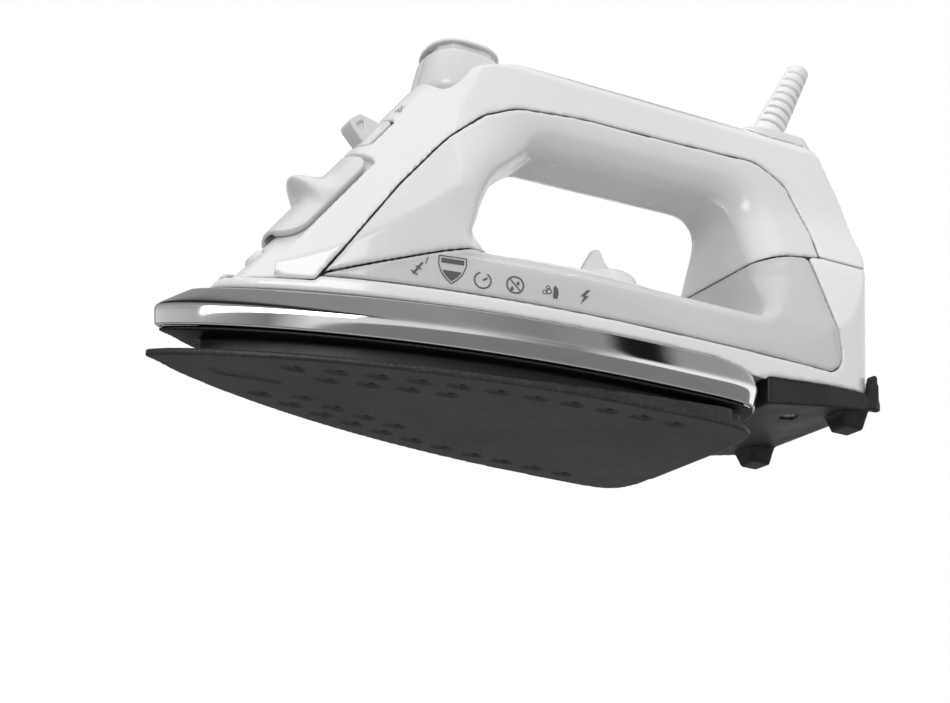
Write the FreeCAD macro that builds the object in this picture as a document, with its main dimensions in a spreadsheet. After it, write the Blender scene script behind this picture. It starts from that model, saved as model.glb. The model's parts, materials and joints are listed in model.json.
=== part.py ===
import FreeCAD, Part
import Sketcher
import math
import os

from FreeCAD import Vector

# A mid-size steam iron, resting flat on its soleplate.
# +X points to the nose, +Y to the iron's left, +Z up; the origin is under the middle of its box.
# Along the iron, places are "stations": millimetres behind the tip of the nose.

doc = FreeCAD.newDocument("clothes_iron")
sheet = doc.addObject("Spreadsheet::Sheet", "dims")

DRIVING_DIMENSIONS = {
    "overall_length": 274.0,
    "sole_length": 212.0,
    "sole_half_width": 52.0,
    "widest_station": 180.0,
    "rim_thickness": 2.6,
    "casting_height": 14.0,
    "chamber_depth": 7.0,
    "chamber_cover_thickness": 1.4,
    "element_diameter": 6.6,
    "element_height": 9.0,
    "shield_low": 3.2,
    "shield_high": 26.6,
    "shield_wall": 2.0,
    "chrome_low": 11.1,
    "chrome_crease": 18.2,
    "chrome_high": 27.0,
    "body_half_width": 44.0,
    "body_nose": 18.0,
    "wall": 2.2,
    "seam_gap": 0.25,
    "body_seam_height": 33.3,
    "saddle_height": 50.0,
    "slope_angle": 54.3,
    "bow_radius": 17.0,
    "dial_station": 173.0,
    "dial_radius": 19.5,
    "dial_hub_radius": 11.5,
    "saddle_cover_top": 55.6,
    "shaft_diameter": 6.0,
    "running_gap": 0.1,
    "door_travel": 20.0,
    "door_half_width": 14.5,
    "button_travel": 3.0,
    "pump_station": 107.0,
    "pump_side": 8.2,
    "pump_bore": 9.0,
    "pump_outside": 12.0,
    "pump_low": 102.0,
    "pump_high": 124.0,
    "valve_station": 86.0,
    "valve_rod_diameter": 3.0,
    "guard_station": 243.5,
    "guard_base_height": 143.2,
    "guard_lean": 25.0,
    "guard_length": 42.0,
    "guard_base_radius": 6.6,
    "guard_tip_radius": 4.6,
    "guard_bore_radius": 3.6,
    "tube_diameter": 4.6,
    "lead_diameter": 2.4,
    "screw_diameter": 3.2,
    "screw_head": 6.2,
}

for row, (alias, value) in enumerate(DRIVING_DIMENSIONS.items(), start=1):
    sheet.set("A%d" % row, alias)
    sheet.set("B%d" % row, str(value))
    sheet.setAlias("B%d" % row, alias)
doc.recompute()


def dim(alias):
    """The value of one driving dimension."""
    return float(sheet.get(alias))


BODY_TAIL = dim("overall_length")
NOSE_X = BODY_TAIL / 2
SLOPE = math.radians(dim("slope_angle"))
FAR = 400.0


def at(station, y=0.0, z=0.0):
    """A point given by its station."""
    return Vector(NOSE_X - station, y, z)


def on_slope(up, y=0.0, out=0.0):
    """A point on the sloping front face: up along it from its foot, sideways, and out from it."""
    foot_station, foot_height = 22.0, 33.0
    station = foot_station + up * math.cos(SLOPE) - out * math.sin(SLOPE)
    height = foot_height + up * math.sin(SLOPE) + out * math.cos(SLOPE)
    return at(station, y, height)


UP_SLOPE = Vector(-math.cos(SLOPE), 0, math.sin(SLOPE))
OUT_OF_SLOPE = Vector(math.sin(SLOPE), 0, math.cos(SLOPE))

GUARD_LEAN = math.radians(dim("guard_lean"))
GUARD_AXIS = Vector(-math.sin(GUARD_LEAN), 0, math.cos(GUARD_LEAN))


def guard_place(up):
    """A point on the cord guard's leaning axis, so far above its base."""
    return at(dim("guard_station"), 0, dim("guard_base_height")) + GUARD_AXIS * up


# ---------------------------------------------------------------- outlines


def mirrored(side):
    """A closed outline from the corners on its left: (station, y, radius)."""
    return side + [(station, -y, radius) for station, y, radius in reversed(side)]


def side_point(station, height):
    return at(station, 0, height)


def plan_point(station, y):
    return at(station, y, 0)


def front_point(y, height):
    return Vector(0, y, height)


def slope_point(up, y):
    return on_slope(up, y, 0)


def rounded_edges(corners, place):
    """Edges of a closed polygon with rounded corners: corners are (a, b, radius)."""
    flat = [Vector(a, b, 0) for a, b, _ in corners]
    count = len(corners)
    edges = []
    ends = []
    for i, (a, b, radius) in enumerate(corners):
        here = flat[i]
        back = (flat[i - 1] - here)
        ahead = (flat[(i + 1) % count] - here)
        if radius <= 0:
            ends.append((here, here, here))
            continue
        half = back.getAngle(ahead) / 2
        reach = radius / math.tan(half)
        start = here + back.normalize() * reach
        stop = here + ahead.normalize() * reach
        bisector = (back + ahead).normalize()
        middle = here + bisector * (radius / math.sin(half) - radius)
        ends.append((start, middle, stop))
    for i, (start, middle, stop) in enumerate(ends):
        if start != stop:
            arc = Part.Arc(place(start.x, start.y), place(middle.x, middle.y), place(stop.x, stop.y))
            edges.append(arc.toShape())
        following = ends[(i + 1) % count][0]
        if stop.distanceToPoint(following) > 1e-6:
            line = Part.LineSegment(place(stop.x, stop.y), place(following.x, following.y))
            edges.append(line.toShape())
    return edges


def rounded_face(corners, place):
    return Part.Face(Part.Wire(rounded_edges(corners, place)))


def side_prism(corners, half_width=FAR, middle=0.0):
    """A solid with the given side outline, from one side of the iron to the other."""
    face = rounded_face(corners, side_point)
    face.translate(Vector(0, middle - half_width, 0))
    return face.extrude(Vector(0, 2 * half_width, 0))


def front_prism(corners):
    """A solid with the given front outline, along the whole iron."""
    face = rounded_face(corners, front_point)
    face.translate(Vector(-FAR, 0, 0))
    return face.extrude(Vector(2 * FAR, 0, 0))


def plan_prism(corners, low, high):
    face = rounded_face(corners, plan_point)
    face.translate(Vector(0, 0, low))
    return face.extrude(Vector(0, 0, high - low))


def slope_block(low, high, half_width, inner, outer, radius=2.0):
    """A block square to the sloping front, between two places up it and two depths."""
    corners = [(low, -half_width, radius), (high, -half_width, radius),
               (high, half_width, radius), (low, half_width, radius)]
    face = rounded_face(corners, slope_point)
    face.translate(OUT_OF_SLOPE * inner)
    return face.extrude(OUT_OF_SLOPE * (outer - inner))


def hull_curve(half_width, nose, tail, rear_power=6.0, fullness=0.83):
    """The boat-shaped plan outline: a pointed nose, full sides and a nearly square tail."""
    widest = dim("widest_station")
    side = []
    for step in range(1, 13):
        part = (step / 12) ** 1.6
        station = nose + part * (widest - nose)
        side.append((station, half_width * (1 - (1 - part) ** 2.1) ** fullness))
    for step in range(1, 10):
        turn = step / 10 * math.pi / 2
        station = widest + (tail - widest) * math.sin(turn) ** (2 / rear_power)
        side.append((station, half_width * math.cos(turn) ** (2 / rear_power)))
    right = [(station, -y) for station, y in reversed(side)]
    outline = [(nose, 0.0)] + side + [(tail, 0.0)] + right
    spline = Part.BSplineCurve()
    spline.interpolate([plan_point(station, y) for station, y in outline], PeriodicFlag=True)
    return spline


def hull_face(half_width, nose, tail, height, rear_power=6.0, fullness=0.83):
    curve = hull_curve(half_width, nose, tail, rear_power, fullness)
    face = Part.Face(Part.Wire([curve.toShape()]))
    face.translate(Vector(0, 0, height))
    return face


def hull_prism(half_width, nose, tail, low, high, rear_power=6.0, fullness=0.83):
    face = hull_face(half_width, nose, tail, low, rear_power, fullness)
    return face.extrude(Vector(0, 0, high - low))


def hull_loft(levels, rear_power=6.0):
    """A solid through several plan outlines: levels are (height, half_width, nose, tail)."""
    wires = [hull_face(half_width, nose, tail, height, rear_power).OuterWire
             for height, half_width, nose, tail in levels]
    return Part.makeLoft(wires, True, True)


def body_prism(inset, low, high):
    """The white body's plan outline, drawn in by an inset and given two heights."""
    nose = dim("body_nose") + 1.5 * inset
    return hull_prism(dim("body_half_width") - inset, nose, BODY_TAIL + 1 - inset, low, high, 5.0, 0.7)


def bow_prism(inset, low=-60.0, high=260.0):
    """The rounded front, square to the slope: a round nose with flat cheeks, sliding along itself."""
    radius = dim("bow_radius") - inset
    half_angle = math.radians(38.0)
    apex = dim("bow_radius") - radius / math.sin(half_angle)
    back = 330.0
    spread = (back - apex) * math.tan(half_angle)

    def place(depth, y):
        return on_slope(low, y, -depth)

    face = rounded_face([(apex, 0, radius), (back, spread, 0), (back, -spread, 0)], place)
    return face.extrude(UP_SLOPE * (high - low))


def bow_shell(outer, inner, low, high, half_width):
    """A curved plate of the rounded front, between two insets and two places up the slope."""
    shell = bow_prism(outer, low, high).cut(bow_prism(inner, low - 1, high + 1))
    return shell.common(slope_block(low, high, half_width, -60, 60, radius=2))


def cylinder_at(radius, base, along, length):
    return Part.makeCylinder(radius, length, base, along)


def turned_shape(profile, base, along):
    """A solid turned about an axis: profile is a list of (radius, height, rounding)."""
    face = rounded_face(profile, lambda radius, height: Vector(radius, 0, height))
    solid = face.revolve(Vector(0, 0, 0), Vector(0, 0, 1), 360)
    solid.Placement = FreeCAD.Placement(base, FreeCAD.Rotation(Vector(0, 0, 1), along))
    return solid


def tube_path(points):
    """Straight runs joined by tangent arcs, as large as the runs allow."""
    edges = []
    start = points[0]
    for before, here, after in zip(points, points[1:], points[2:]):
        back = before - here
        ahead = after - here
        reach = 0.45 * min(back.Length, ahead.Length)
        half = back.getAngle(ahead) / 2
        radius = reach * math.tan(half)
        back.normalize()
        ahead.normalize()
        middle = here + (back + ahead).normalize() * (radius / math.sin(half) - radius)
        arc_start = here + back * reach
        arc_stop = here + ahead * reach
        edges.append(Part.LineSegment(start, arc_start).toShape())
        edges.append(Part.Arc(arc_start, middle, arc_stop).toShape())
        start = arc_stop
    edges.append(Part.LineSegment(start, points[-1]).toShape())
    return Part.Wire(edges)


def swept_tube(points, radius, bore=0.0):
    """A round tube along a path of runs and arcs, hollow when it has a bore."""
    path = tube_path(points)
    first = path.Edges[0]
    start = Vector(points[0])
    along = first.tangentAt(first.FirstParameter)

    def sweep(size):
        ring = Part.Wire(Part.makeCircle(size, start, along))
        return path.makePipeShell([ring], True, False)

    solid = sweep(radius)
    if bore > 0:
        solid = solid.cut(sweep(bore))
    return solid


# ---------------------------------------------------------------- document objects

PARTS = []


def keep(obj, label):
    """Give a finished sub-part its name and remember it for writing."""
    obj.Label = label
    PARTS.append(obj)
    return obj


def feature(label, shape, cuts=(), place=FreeCAD.Placement()):
    """A sub-part whose free-form shape is made with Part's own functions."""
    for tool in cuts:
        shape = shape.cut(tool)
    solids = shape.Solids
    obj = doc.addObject("Part::Feature", label)
    obj.Shape = solids[0] if len(solids) == 1 else Part.makeCompound(solids)
    obj.Placement = place
    return keep(obj, label)


def origin_plane(body, role):
    """A plane or axis of a body's own origin."""
    for item in body.Origin.OriginFeatures:
        if item.Role == role:
            return item
    raise ValueError(role)


def new_body(label):
    body = doc.addObject("PartDesign::Body", label)
    return keep(body, label)


def sketch_on(body, name, role="XY_Plane"):
    sketch = body.newObject("Sketcher::SketchObject", name)
    sketch.AttachmentSupport = [(origin_plane(body, role), "")]
    sketch.MapMode = "FlatFace"
    return sketch


def draw_ring(sketch, radius, u=0.0, v=0.0, expression=None):
    """A circle in a sketch, its radius bound to the sheet when an expression is given."""
    index = sketch.addGeometry(Part.Circle(Vector(u, v, 0), Vector(0, 0, 1), radius), False)
    if expression:
        number = sketch.addConstraint(Sketcher.Constraint("Radius", index, radius))
        sketch.setExpression("Constraints[%d]" % number, expression)
    return index


def draw_polygon(sketch, points):
    for start, stop in zip(points, points[1:] + points[:1]):
        sketch.addGeometry(Part.LineSegment(Vector(*start, 0), Vector(*stop, 0)), False)


def pad(body, sketch, name, length):
    """Pad a sketch; length is a number or an expression."""
    item = body.newObject("PartDesign::Pad", name)
    item.Profile = sketch
    if isinstance(length, str):
        item.setExpression("Length", length)
    else:
        item.Length = length
    doc.recompute()
    return item


def turned(label, profile, place, axis=Vector(0, 0, 1)):
    """A PartDesign body turned about its own Z axis: profile is a closed list of (radius, height)."""
    body = new_body(label)
    sketch = sketch_on(body, label + "_profile", "XZ_Plane")
    draw_polygon(sketch, profile)
    turn = body.newObject("PartDesign::Revolution", label + "_turn")
    turn.Profile = sketch
    turn.ReferenceAxis = (origin_plane(body, "Z_Axis"), [""])
    turn.Angle = 360
    rotation = FreeCAD.Rotation(Vector(0, 0, 1), axis)
    body.Placement = FreeCAD.Placement(place, rotation)
    doc.recompute()
    return body


def round_bar(label, diameter, length, place, axis=Vector(0, 0, 1)):
    """A Part cylinder whose diameter and length are expressions."""
    bar = doc.addObject("Part::Cylinder", label)
    bar.setExpression("Radius", "(%s) / 2" % diameter)
    bar.setExpression("Height", length)
    bar.Placement = FreeCAD.Placement(place, FreeCAD.Rotation(Vector(0, 0, 1), axis))
    return keep(bar, label)


# ---------------------------------------------------------------- the outer form


def side_outline(inset=0.0):
    """The white body from the side, with the way for the hand left open."""
    outside = [(17 + 1.4 * inset, 24, 0), (17 + 1.4 * inset, 30, 3), (88 + inset, 125 - inset, 8),
               (124, 138.7 - inset, 30), (226, 141.6 - inset, 60), (257 - inset, 141.6 - inset, 7),
               (269 - inset, 113, 60), (BODY_TAIL - inset, 84, 60),
               (BODY_TAIL - inset, 24, 0)]
    hand = [(98 - inset, 50 - inset, 7), (112 - inset, 84, 40), (133, 104.5 + inset, 14),
            (221 + inset, 106.5 + inset, 13), (222 + inset, 50 - inset, 7)]
    return outside, hand


def cross_outline(inset=0.0):
    """The white body from the front: full below, drawn in to a hand's grip above."""
    right = [(44.5 - inset, 20, 0), (44.5 - inset, 34, 20), (42.2 - inset, 50, 30), (34 - inset, 78, 60),
             (22 - inset, 104, 60), (18.5 - inset, 124, 20), (16.5 - inset, 136.5 - inset, 6),
             (9, 142.4 - 1.2 * inset, 8)]
    left = [(-y, z, radius) for y, z, radius in reversed(right)]
    return right + left


def body_envelope(inset=0.0):
    outside, hand = side_outline(inset)
    profile = side_prism(outside).cut(side_prism(hand))
    profile = profile.common(front_prism(cross_outline(inset)))
    profile = profile.common(body_prism(inset, 20, 160))
    return profile.common(bow_prism(inset))


OUTER = body_envelope()
INNER = body_envelope(dim("wall"))
SKIN = OUTER.cut(INNER)

GAP = dim("seam_gap")

# The front seam runs parallel to the sloping front, then along the side of the handle.
SEAM = [(49, 31.5, 0), (76, 73.5, 60), (92, 95, 60), (108, 110.5, 20), (122, 117.6, 20),
        (150, 121, 60), (185, 122, 60), (229, 123.8, 14), (242, 116, 10), (249.7, 98, 40),
        (250, 83.5, 0)]


def region_upper():
    corners = list(SEAM)
    corners += [(320, 83.5, 0), (320, 190, 0), (-20, 190, 0), (-20, 31.5, 0)]
    return side_prism(corners)


def region_grip():
    seam = []
    for station, height, radius in SEAM:
        shift = GAP if station < 150 else -GAP
        seam.append((station + shift, height - GAP, radius))
    seam[0] = (51.5, 34.6, 0)
    under = [(246.5, 82.6, 0), (233, 80, 30), (217, 75, 15), (203, 67, 10), (194.5, 52, 3),
             (191.5, 50.2, 0), (100, 50.2, 0), (89, 47.2, 8)]
    return side_prism(seam + under)


def region_tank(inset=0.0):
    top = [(51.5 + 3 * inset, 34.1, 0), (89, 46.9 - inset, 8), (100, 49.9 - inset, 0),
           (191.5 + inset, 49.9 - inset, 0), (194.8 + inset, 52, 3), (203.3 + inset, 66.6 - inset, 10),
           (217.3, 74.6 - inset, 15), (233, 79.6 - inset, 30), (243.5 - inset, 81.6 - inset, 2),
           (255.2 - inset, 33.3, 7.6)]
    bottom = [(51.5 + 3 * inset, 33.3, 0)]
    return side_prism(top + bottom)


def region_lower():
    corners = [(-20, 31.2, 0), (49, 31.2, 0), (50.5, 33.05, 0), (255.6, 33.05, 8), (244.2, 82.1, 2),
               (250, 83.2, 0), (320, 83.2, 0), (320, 30, 0), (BODY_TAIL, 30.2, 0), (218, 25.2, 0),
               (217.8, 21.0, 0), (206, 25.6, 8), (196, 27.3, 0), (-20, 27.3, 0)]
    return side_prism(corners)


# ---------------------------------------------------------------- openings in the shells

def fill_window(half_width=9.5):
    return slope_block(31, 60, half_width, -40, 30, radius=6)


def upper_openings():
    """What is cut out of the upper shell's front."""
    half_width = dim("door_half_width")
    channel = bow_prism(-20, 1, 69).cut(bow_prism(3.3, 0, 70))
    channel = channel.common(slope_block(1, 69, half_width + GAP, -60, 60, radius=2))
    rails = bow_shell(1.7, 3.3, 2.5, 68, half_width + 1.6)
    lever = slope_block(74, 90, 10.0, -10, 30, radius=2.5)
    nozzle = cylinder_at(4.4, on_slope(14, 0, -24), OUT_OF_SLOPE, 60)
    return [channel, rails, fill_window(), lever, nozzle]


# ---------------------------------------------------------------- hot end

def hull_half_width(station):
    """Half the soleplate's width at a station ahead of its widest place."""
    part = min(station / dim("widest_station"), 1)
    return dim("sole_half_width") * (1 - (1 - part) ** 2.1) ** 0.83


def vent_places():
    """Steam vents: a row along each edge, and a short second row near the nose."""
    places = []
    for side in (1, -1):
        for step in range(11):
            station = 46 + 13.4 * step
            places.append((station, side * (hull_half_width(station) - 10.5)))
        for step in range(4):
            station = 60 + 13.4 * step
            places.append((station, side * (hull_half_width(station) - 21)))
    return places


SOLE_SCREWS = [(27, 0), (197, 22), (197, -22)]
FLOOR_SCREWS = [(120, 24), (120, -24), (185, 26), (185, -26)]
HEEL_SCREWS = [(240, 25), (240, -25)]
LEAD_SIDES = (-8.0, 0.0, 8.0)
LEAD_STATION = 204.9

# The burst tube's way through the floor, and its inlet into the steam chamber.
BURST_DROP = (60.0, 13.0)
BURST_INLET = (92.0, 10.0)

SLEEVE_RADIUS = 5.0
SUCTION_STATION = 91.0
SUCTION_SIDE = 12.0
FUNNEL_MOUTH = (48.0, 66.0)
FUNNEL_FOOT = (70.0, 38.0)
THERMOSTAT_LOW = dim("casting_height") + dim("chamber_cover_thickness")
PISTON_LOW = 116.0
SPRING_LOW = dim("pump_low") + 2.5


def element_path(lift=0.0):
    """The hairpin of the tubular element round the nose, its cold ends turned up at the back."""
    z = dim("element_height") + lift
    flank = [(188, 31), (150, 31.5), (105, 26), (72, 18), (50, 9.5)]
    left = [at(station, y, z) for station, y in flank]
    right = [at(station, -y, z) for station, y in reversed(flank)]
    rise = dim("element_height") + 13 + lift
    nose = [at(41, 0, z)]
    return [at(197, 31, rise), at(197, 31, z)] + left + nose + right + [at(197, -31, z), at(197, -31, rise)]


def make_soleplate():
    rim = hull_prism(dim("sole_half_width"), 0, dim("sole_length"), 0, dim("rim_thickness"))
    shoulder = hull_prism(50.5, 3, 210, 0, 8).cut(hull_prism(43.4, 14, 214, -1, 9))
    shoulder = shoulder.common(side_prism([(110, 1, 0), (110, 2.6, 0), (199, 7.4, 1), (199, 1, 0)]))
    casting = hull_prism(39.5, 22, 207, 1, dim("casting_height"))
    solid = rim.fuse(shoulder).fuse(casting)
    chamber_floor = dim("casting_height") - dim("chamber_depth")
    solid = solid.cut(hull_prism(24, 56, 184, chamber_floor, FAR))
    radius = dim("element_diameter") / 2 + 0.05
    solid = solid.cut(swept_tube(element_path(), radius))
    solid = solid.cut(swept_tube(element_path(4.5), radius))
    tools = []
    for station, y in vent_places():
        tools.append(plan_prism([(station - 4.6, y - 2.5, 2.3), (station + 4.6, y - 2.5, 2.3),
                                 (station + 4.6, y + 2.5, 2.3), (station - 4.6, y + 2.5, 2.3)], -1, 0.7))
        tools.append(cylinder_at(1.1, at(station + 1.6, y, 0.6), Vector(0, 0, 1), 2.6))
    solid = solid.cut(Part.makeCompound(tools))
    teardrop = [(20, 0, 1), (27, 4.6, 3), (48, 1.8, 1.2), (48, -1.8, 1.2), (27, -4.6, 3)]
    solid = solid.cut(plan_prism(teardrop, -1, 0.6))
    for station, y in SOLE_SCREWS:
        solid = solid.cut(cylinder_at(dim("screw_diameter") / 2, at(station, y, 6), Vector(0, 0, 1), 40))
    return feature("soleplate", solid)


def make_heating_element():
    return feature("heating_element", swept_tube(element_path(), dim("element_diameter") / 2))


def make_chamber_cover():
    body = new_body("steam_chamber_cover")
    sketch = sketch_on(body, "chamber_cover_outline")
    sketch.addGeometry(hull_curve(26.0, 52, 186), False)
    draw_ring(sketch, 2.6, NOSE_X - dim("valve_station"), 0)
    draw_ring(sketch, 2.4, NOSE_X - BURST_INLET[0], BURST_INLET[1])
    pad(body, sketch, "chamber_cover_plate", "dims.chamber_cover_thickness")
    body.setExpression("Placement.Base.z", "dims.casting_height")
    return body


def make_heat_shield():
    low = dim("shield_low")
    high = dim("shield_high")
    wall = dim("shield_wall")
    solid = hull_prism(42.9, 18, 213, low, high)
    solid = solid.cut(hull_prism(42.9 - wall, 21, 213 - wall, low - 1, high - wall))
    lip = hull_prism(48.4, 3.4, 215.8, 9.7, 10.9).cut(hull_prism(42, 20, 212, 9, 12))
    solid = solid.fuse(lip)
    rear = [(190, 27.2, 0), (198, 26.9, 3), (218, 19.2, 0), (230, 19.2, 0), (230, 40, 0), (190, 40, 0)]
    solid = solid.cut(side_prism(rear))
    holes = [(dim("dial_station"), 0, 4.0), (dim("valve_station"), 0, 4.1)]
    holes += [(BURST_DROP[0], BURST_DROP[1], 3.0)]
    holes += [(LEAD_STATION, side, 3.0) for side in LEAD_SIDES]
    holes += [(197, side * 31, 5.0) for side in (1, -1)]
    holes += [(station, y, 1.5) for station, y in FLOOR_SCREWS]
    for station, y, radius in holes:
        solid = solid.cut(cylinder_at(radius, at(station, y, 10), Vector(0, 0, 1), 40))
    return feature("heat_shield", solid)


def make_chrome_trim():
    outer = hull_loft([(dim("chrome_low"), 48.8, 1.8, 216.6), (dim("chrome_crease"), 50.8, 0.6, 217.4),
                       (dim("chrome_high"), 45.6, 13.5, 216.4)])
    inner = hull_loft([(dim("chrome_low"), 47.3, 4.4, 215.2), (dim("chrome_crease"), 49.3, 3.2, 216.0),
                       (dim("chrome_high"), 44.2, 16.4, 215.0)])
    solid = outer.cut(inner)
    keep_below = [(-9, 5, 0), (230, 5, 0), (230, 20.6, 0), (217.8, 20.6, 3), (206, 25.3, 14),
                  (194, 27.2, 0), (194, 40, 0), (-9, 40, 0)]
    return feature("chrome_trim", solid.common(side_prism(keep_below)))


# ---------------------------------------------------------------- white body and tank

def make_lower_body():
    solid = SKIN.common(region_lower())
    floor = [(10, 27.3, 0), (208, 27.3, 0), (218, 25.2, 0), (BODY_TAIL, 30.2, 0), (BODY_TAIL, 31.6, 0),
             (218, 26.7, 0), (208, 29.3, 0), (10, 29.3, 0)]
    solid = solid.fuse(OUTER.common(side_prism(floor)))
    solid = solid.cut(hull_prism(43.1, 17, 213.4, 0, 26.9))
    holes = [(dim("dial_station"), 0, 4.0), (dim("valve_station"), 0, 4.1)]
    holes += [(BURST_DROP[0], BURST_DROP[1], 3.0)]
    holes += [(LEAD_STATION, side, 3.0) for side in LEAD_SIDES]
    holes += [(station, y, 1.7) for station, y in FLOOR_SCREWS]
    for station, y, radius in holes:
        solid = solid.cut(cylinder_at(radius, at(station, y, 20), Vector(0, 0, 1), 12))
    for station, y in HEEL_SCREWS:
        solid = solid.cut(cylinder_at(1.5, at(station, y, 20), Vector(0, 0, 1), 14))
    return feature("lower_body", solid)


def make_heel_plate():
    """The black heel: a sloping tray with two feet, and a fin and a peg at each rear corner."""
    side = [(218.2, 14.6, 1), (218.2, 25.0, 0), (271, 29.8, 0), (271, 24.0, 2), (266.5, 22.6, 2)]
    plan = [(218, 43.6, 1), (246, 42.2, 40), (266, 38.6, 3), (269.5, 34, 4), (269.5, -34, 4),
            (266, -38.6, 3), (246, -42.2, 40), (218, -43.6, 1)]
    inner_side = [(220.4, 17.4, 1), (220.4, 40, 0), (267, 40, 0), (267, 25.2, 1)]
    inner_plan = [(220.4, 41.2, 1), (245, 39.8, 40), (263.5, 36, 2), (267, 32, 3), (267, -32, 3),
                  (263.5, -36, 2), (245, -39.8, 40), (220.4, -41.2, 1)]
    solid = side_prism(side).common(plan_prism(plan, 0, 60))
    solid = solid.cut(side_prism(inner_side).common(plan_prism(inner_plan, 0, 60)))
    for hand in (1, -1):
        solid = solid.fuse(heel_foot(hand))
        fin = side_prism([(266.5, 24, 0), (268, 31, 1), (269.6, 37.5, 0.6), (271.6, 37, 0.5),
                          (272.6, 29, 0.5), (271, 24, 0)], 2.2, hand * 36.2)
        peg = plan_prism([(266, hand * 36.2 - 2.4, 0), (273.6, hand * 36.2 - 1.4, 0.5),
                          (273.6, hand * 36.2 + 1.4, 0.5), (266, hand * 36.2 + 2.4, 0)], 23.6, 27.6)
        solid = solid.fuse(fin).fuse(peg)
        solid = solid.fuse(cylinder_at(3.6, at(240, hand * 25, 18), Vector(0, 0, 1), 8.6))
    for station, y in HEEL_SCREWS:
        solid = solid.cut(cylinder_at(1.65, at(station, y, 5), Vector(0, 0, 1), 40))
        solid = solid.cut(cylinder_at(3.3, at(station, y, 5), Vector(0, 0, 1), 16))
    solid = solid.cut(OUTER.common(region_lower()))
    return feature("heel_plate", solid)


def heel_foot(hand):
    """One tapered foot under a rear corner."""
    levels = [(24.0, 255.5, 268.5, 23.5, 38.0), (15.6, 259.0, 267.0, 25.5, 35.5)]
    wires = []
    for height, front, rear, inner, outer in levels:
        corners = [(front, hand * inner, 1), (rear, hand * inner, 1),
                   (rear, hand * outer, 1), (front, hand * outer, 1)]
        face = rounded_face(corners, plan_point)
        face.translate(Vector(0, 0, height))
        wires.append(face.OuterWire)
    return Part.makeLoft(wires, True, True)


def tank_openings():
    tools = [cylinder_at(SLEEVE_RADIUS + 0.05, at(dim("dial_station"), 0, 20), Vector(0, 0, 1), 60)]
    tools += [cylinder_at(4.0, at(dim("valve_station"), 0, 30), Vector(0, 0, 1), 6)]
    tools += [cylinder_at(2.3, at(dim("valve_station"), 0, 36), Vector(0, 0, 1), 20)]
    tools += [cylinder_at(3.0, at(BURST_DROP[0], BURST_DROP[1], 20), Vector(0, 0, 1), 40)]
    for side in (1, -1):
        place = at(SUCTION_STATION, side * SUCTION_SIDE, 38)
        tools.append(cylinder_at(dim("tube_diameter") / 2 + 0.05, place, Vector(0, 0, 1), 20))
    return tools


def make_water_tank():
    solid = OUTER.common(region_tank())
    solid = solid.cut(INNER.common(region_tank(2.0)))
    return feature("water_tank", solid, tank_openings() + [funnel_core(7.6)])


def tank_floor(low, high):
    band = side_prism([(0, low, 0), (300, low, 0), (300, high, 0), (0, high, 0)])
    return INNER.common(region_tank(2.0)).common(band)


def make_tank_base():
    return feature("tank_base", tank_floor(33.3, 35.2), tank_openings())


def make_tank_gasket():
    ring = tank_floor(35.2, 36.2).cut(body_envelope(dim("wall") + 1.6).common(region_tank(3.6)))
    return feature("tank_gasket", ring, tank_openings())


def funnel_core(radius):
    start = at(FUNNEL_MOUTH[0], 0, FUNNEL_MOUTH[1])
    stop = at(FUNNEL_FOOT[0], 0, FUNNEL_FOOT[1])
    return cylinder_at(radius, start, stop - start, (stop - start).Length)


def make_fill_funnel():
    """The inlet behind the water-fill door, from the front down into the tank."""
    outer = funnel_core(7.5).fuse(bow_shell(5.5, 7.2, 29, 62, 11.5))
    start = at(FUNNEL_MOUTH[0] - 8, 0, FUNNEL_MOUTH[1] + 10.2)
    along = at(FUNNEL_FOOT[0], 0, FUNNEL_FOOT[1]) - start
    bore = cylinder_at(6.0, start, along, along.Length + 5)
    solid = outer.cut(bore).cut(bow_prism(5.45).cut(bow_prism(5.5, -61, 261)))
    solid = solid.cut(fill_mouth_clearance())
    solid = solid.common(bow_prism(5.5))
    return feature("fill_funnel", solid)


def fill_mouth_clearance():
    """Room above the funnel's foot, so that it ends inside the tank's roof."""
    return side_prism([(60, 20, 0), (90, 20, 0), (90, 38.6, 0), (60, 38.6, 0)])


def make_upper_shell():
    solid = SKIN.common(region_upper())
    tray = bow_shell(1.0, 5.3, -2, 72, dim("door_half_width") + 3.2).common(OUTER)
    solid = solid.fuse(tray.common(region_upper()))
    plunger_well = plan_prism([(91.5, -13, 3), (120, -13, 3), (120, 13, 3), (91.5, 13, 3)], 118, 160)
    solid = solid.cut(plunger_well)
    neck = cylinder_at(6.9, guard_place(-14), GUARD_AXIS, 30)
    return feature("upper_shell", solid, upper_openings() + [neck])


def make_handle_grip():
    solid = SKIN.common(region_grip())
    for side in (1, -1):
        place = at(SUCTION_STATION, side * SUCTION_SIDE, 38)
        solid = solid.cut(cylinder_at(dim("tube_diameter") / 2 + 0.2, place, Vector(0, 0, 1), 25))
    return feature("handle_grip", solid)


# ---------------------------------------------------------------- saddle, dial and lamp

def make_saddle_cover():
    """The raised white cover along the saddle, hollow below, with the dial's seat."""
    top = dim("saddle_cover_top")
    plan = mirrored([(107.5, 10, 8), (121, 25, 12), (155, 30.5, 60), (187, 25, 16), (199, 10, 8)])
    inner = mirrored([(110.5, 8.5, 6), (122.5, 22.8, 10), (155, 28.3, 58), (185, 23, 14), (196, 8.5, 6)])
    solid = plan_prism(plan, dim("saddle_height"), top)
    solid = solid.cut(plan_prism(inner, dim("saddle_height") - 1, top - 1.8))
    solid = solid.cut(cylinder_at(3.4, at(dim("dial_station"), 0, 40), Vector(0, 0, 1), 40))
    solid = solid.cut(lens_outline(0.1, 40, 60))
    return feature("saddle_cover", solid)


def lens_outline(spare, low, high):
    reach = 4.0 + spare
    return plan_prism(mirrored([(122 - spare, reach, 3), (134 + spare, reach, 3)]), low, high)


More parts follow.
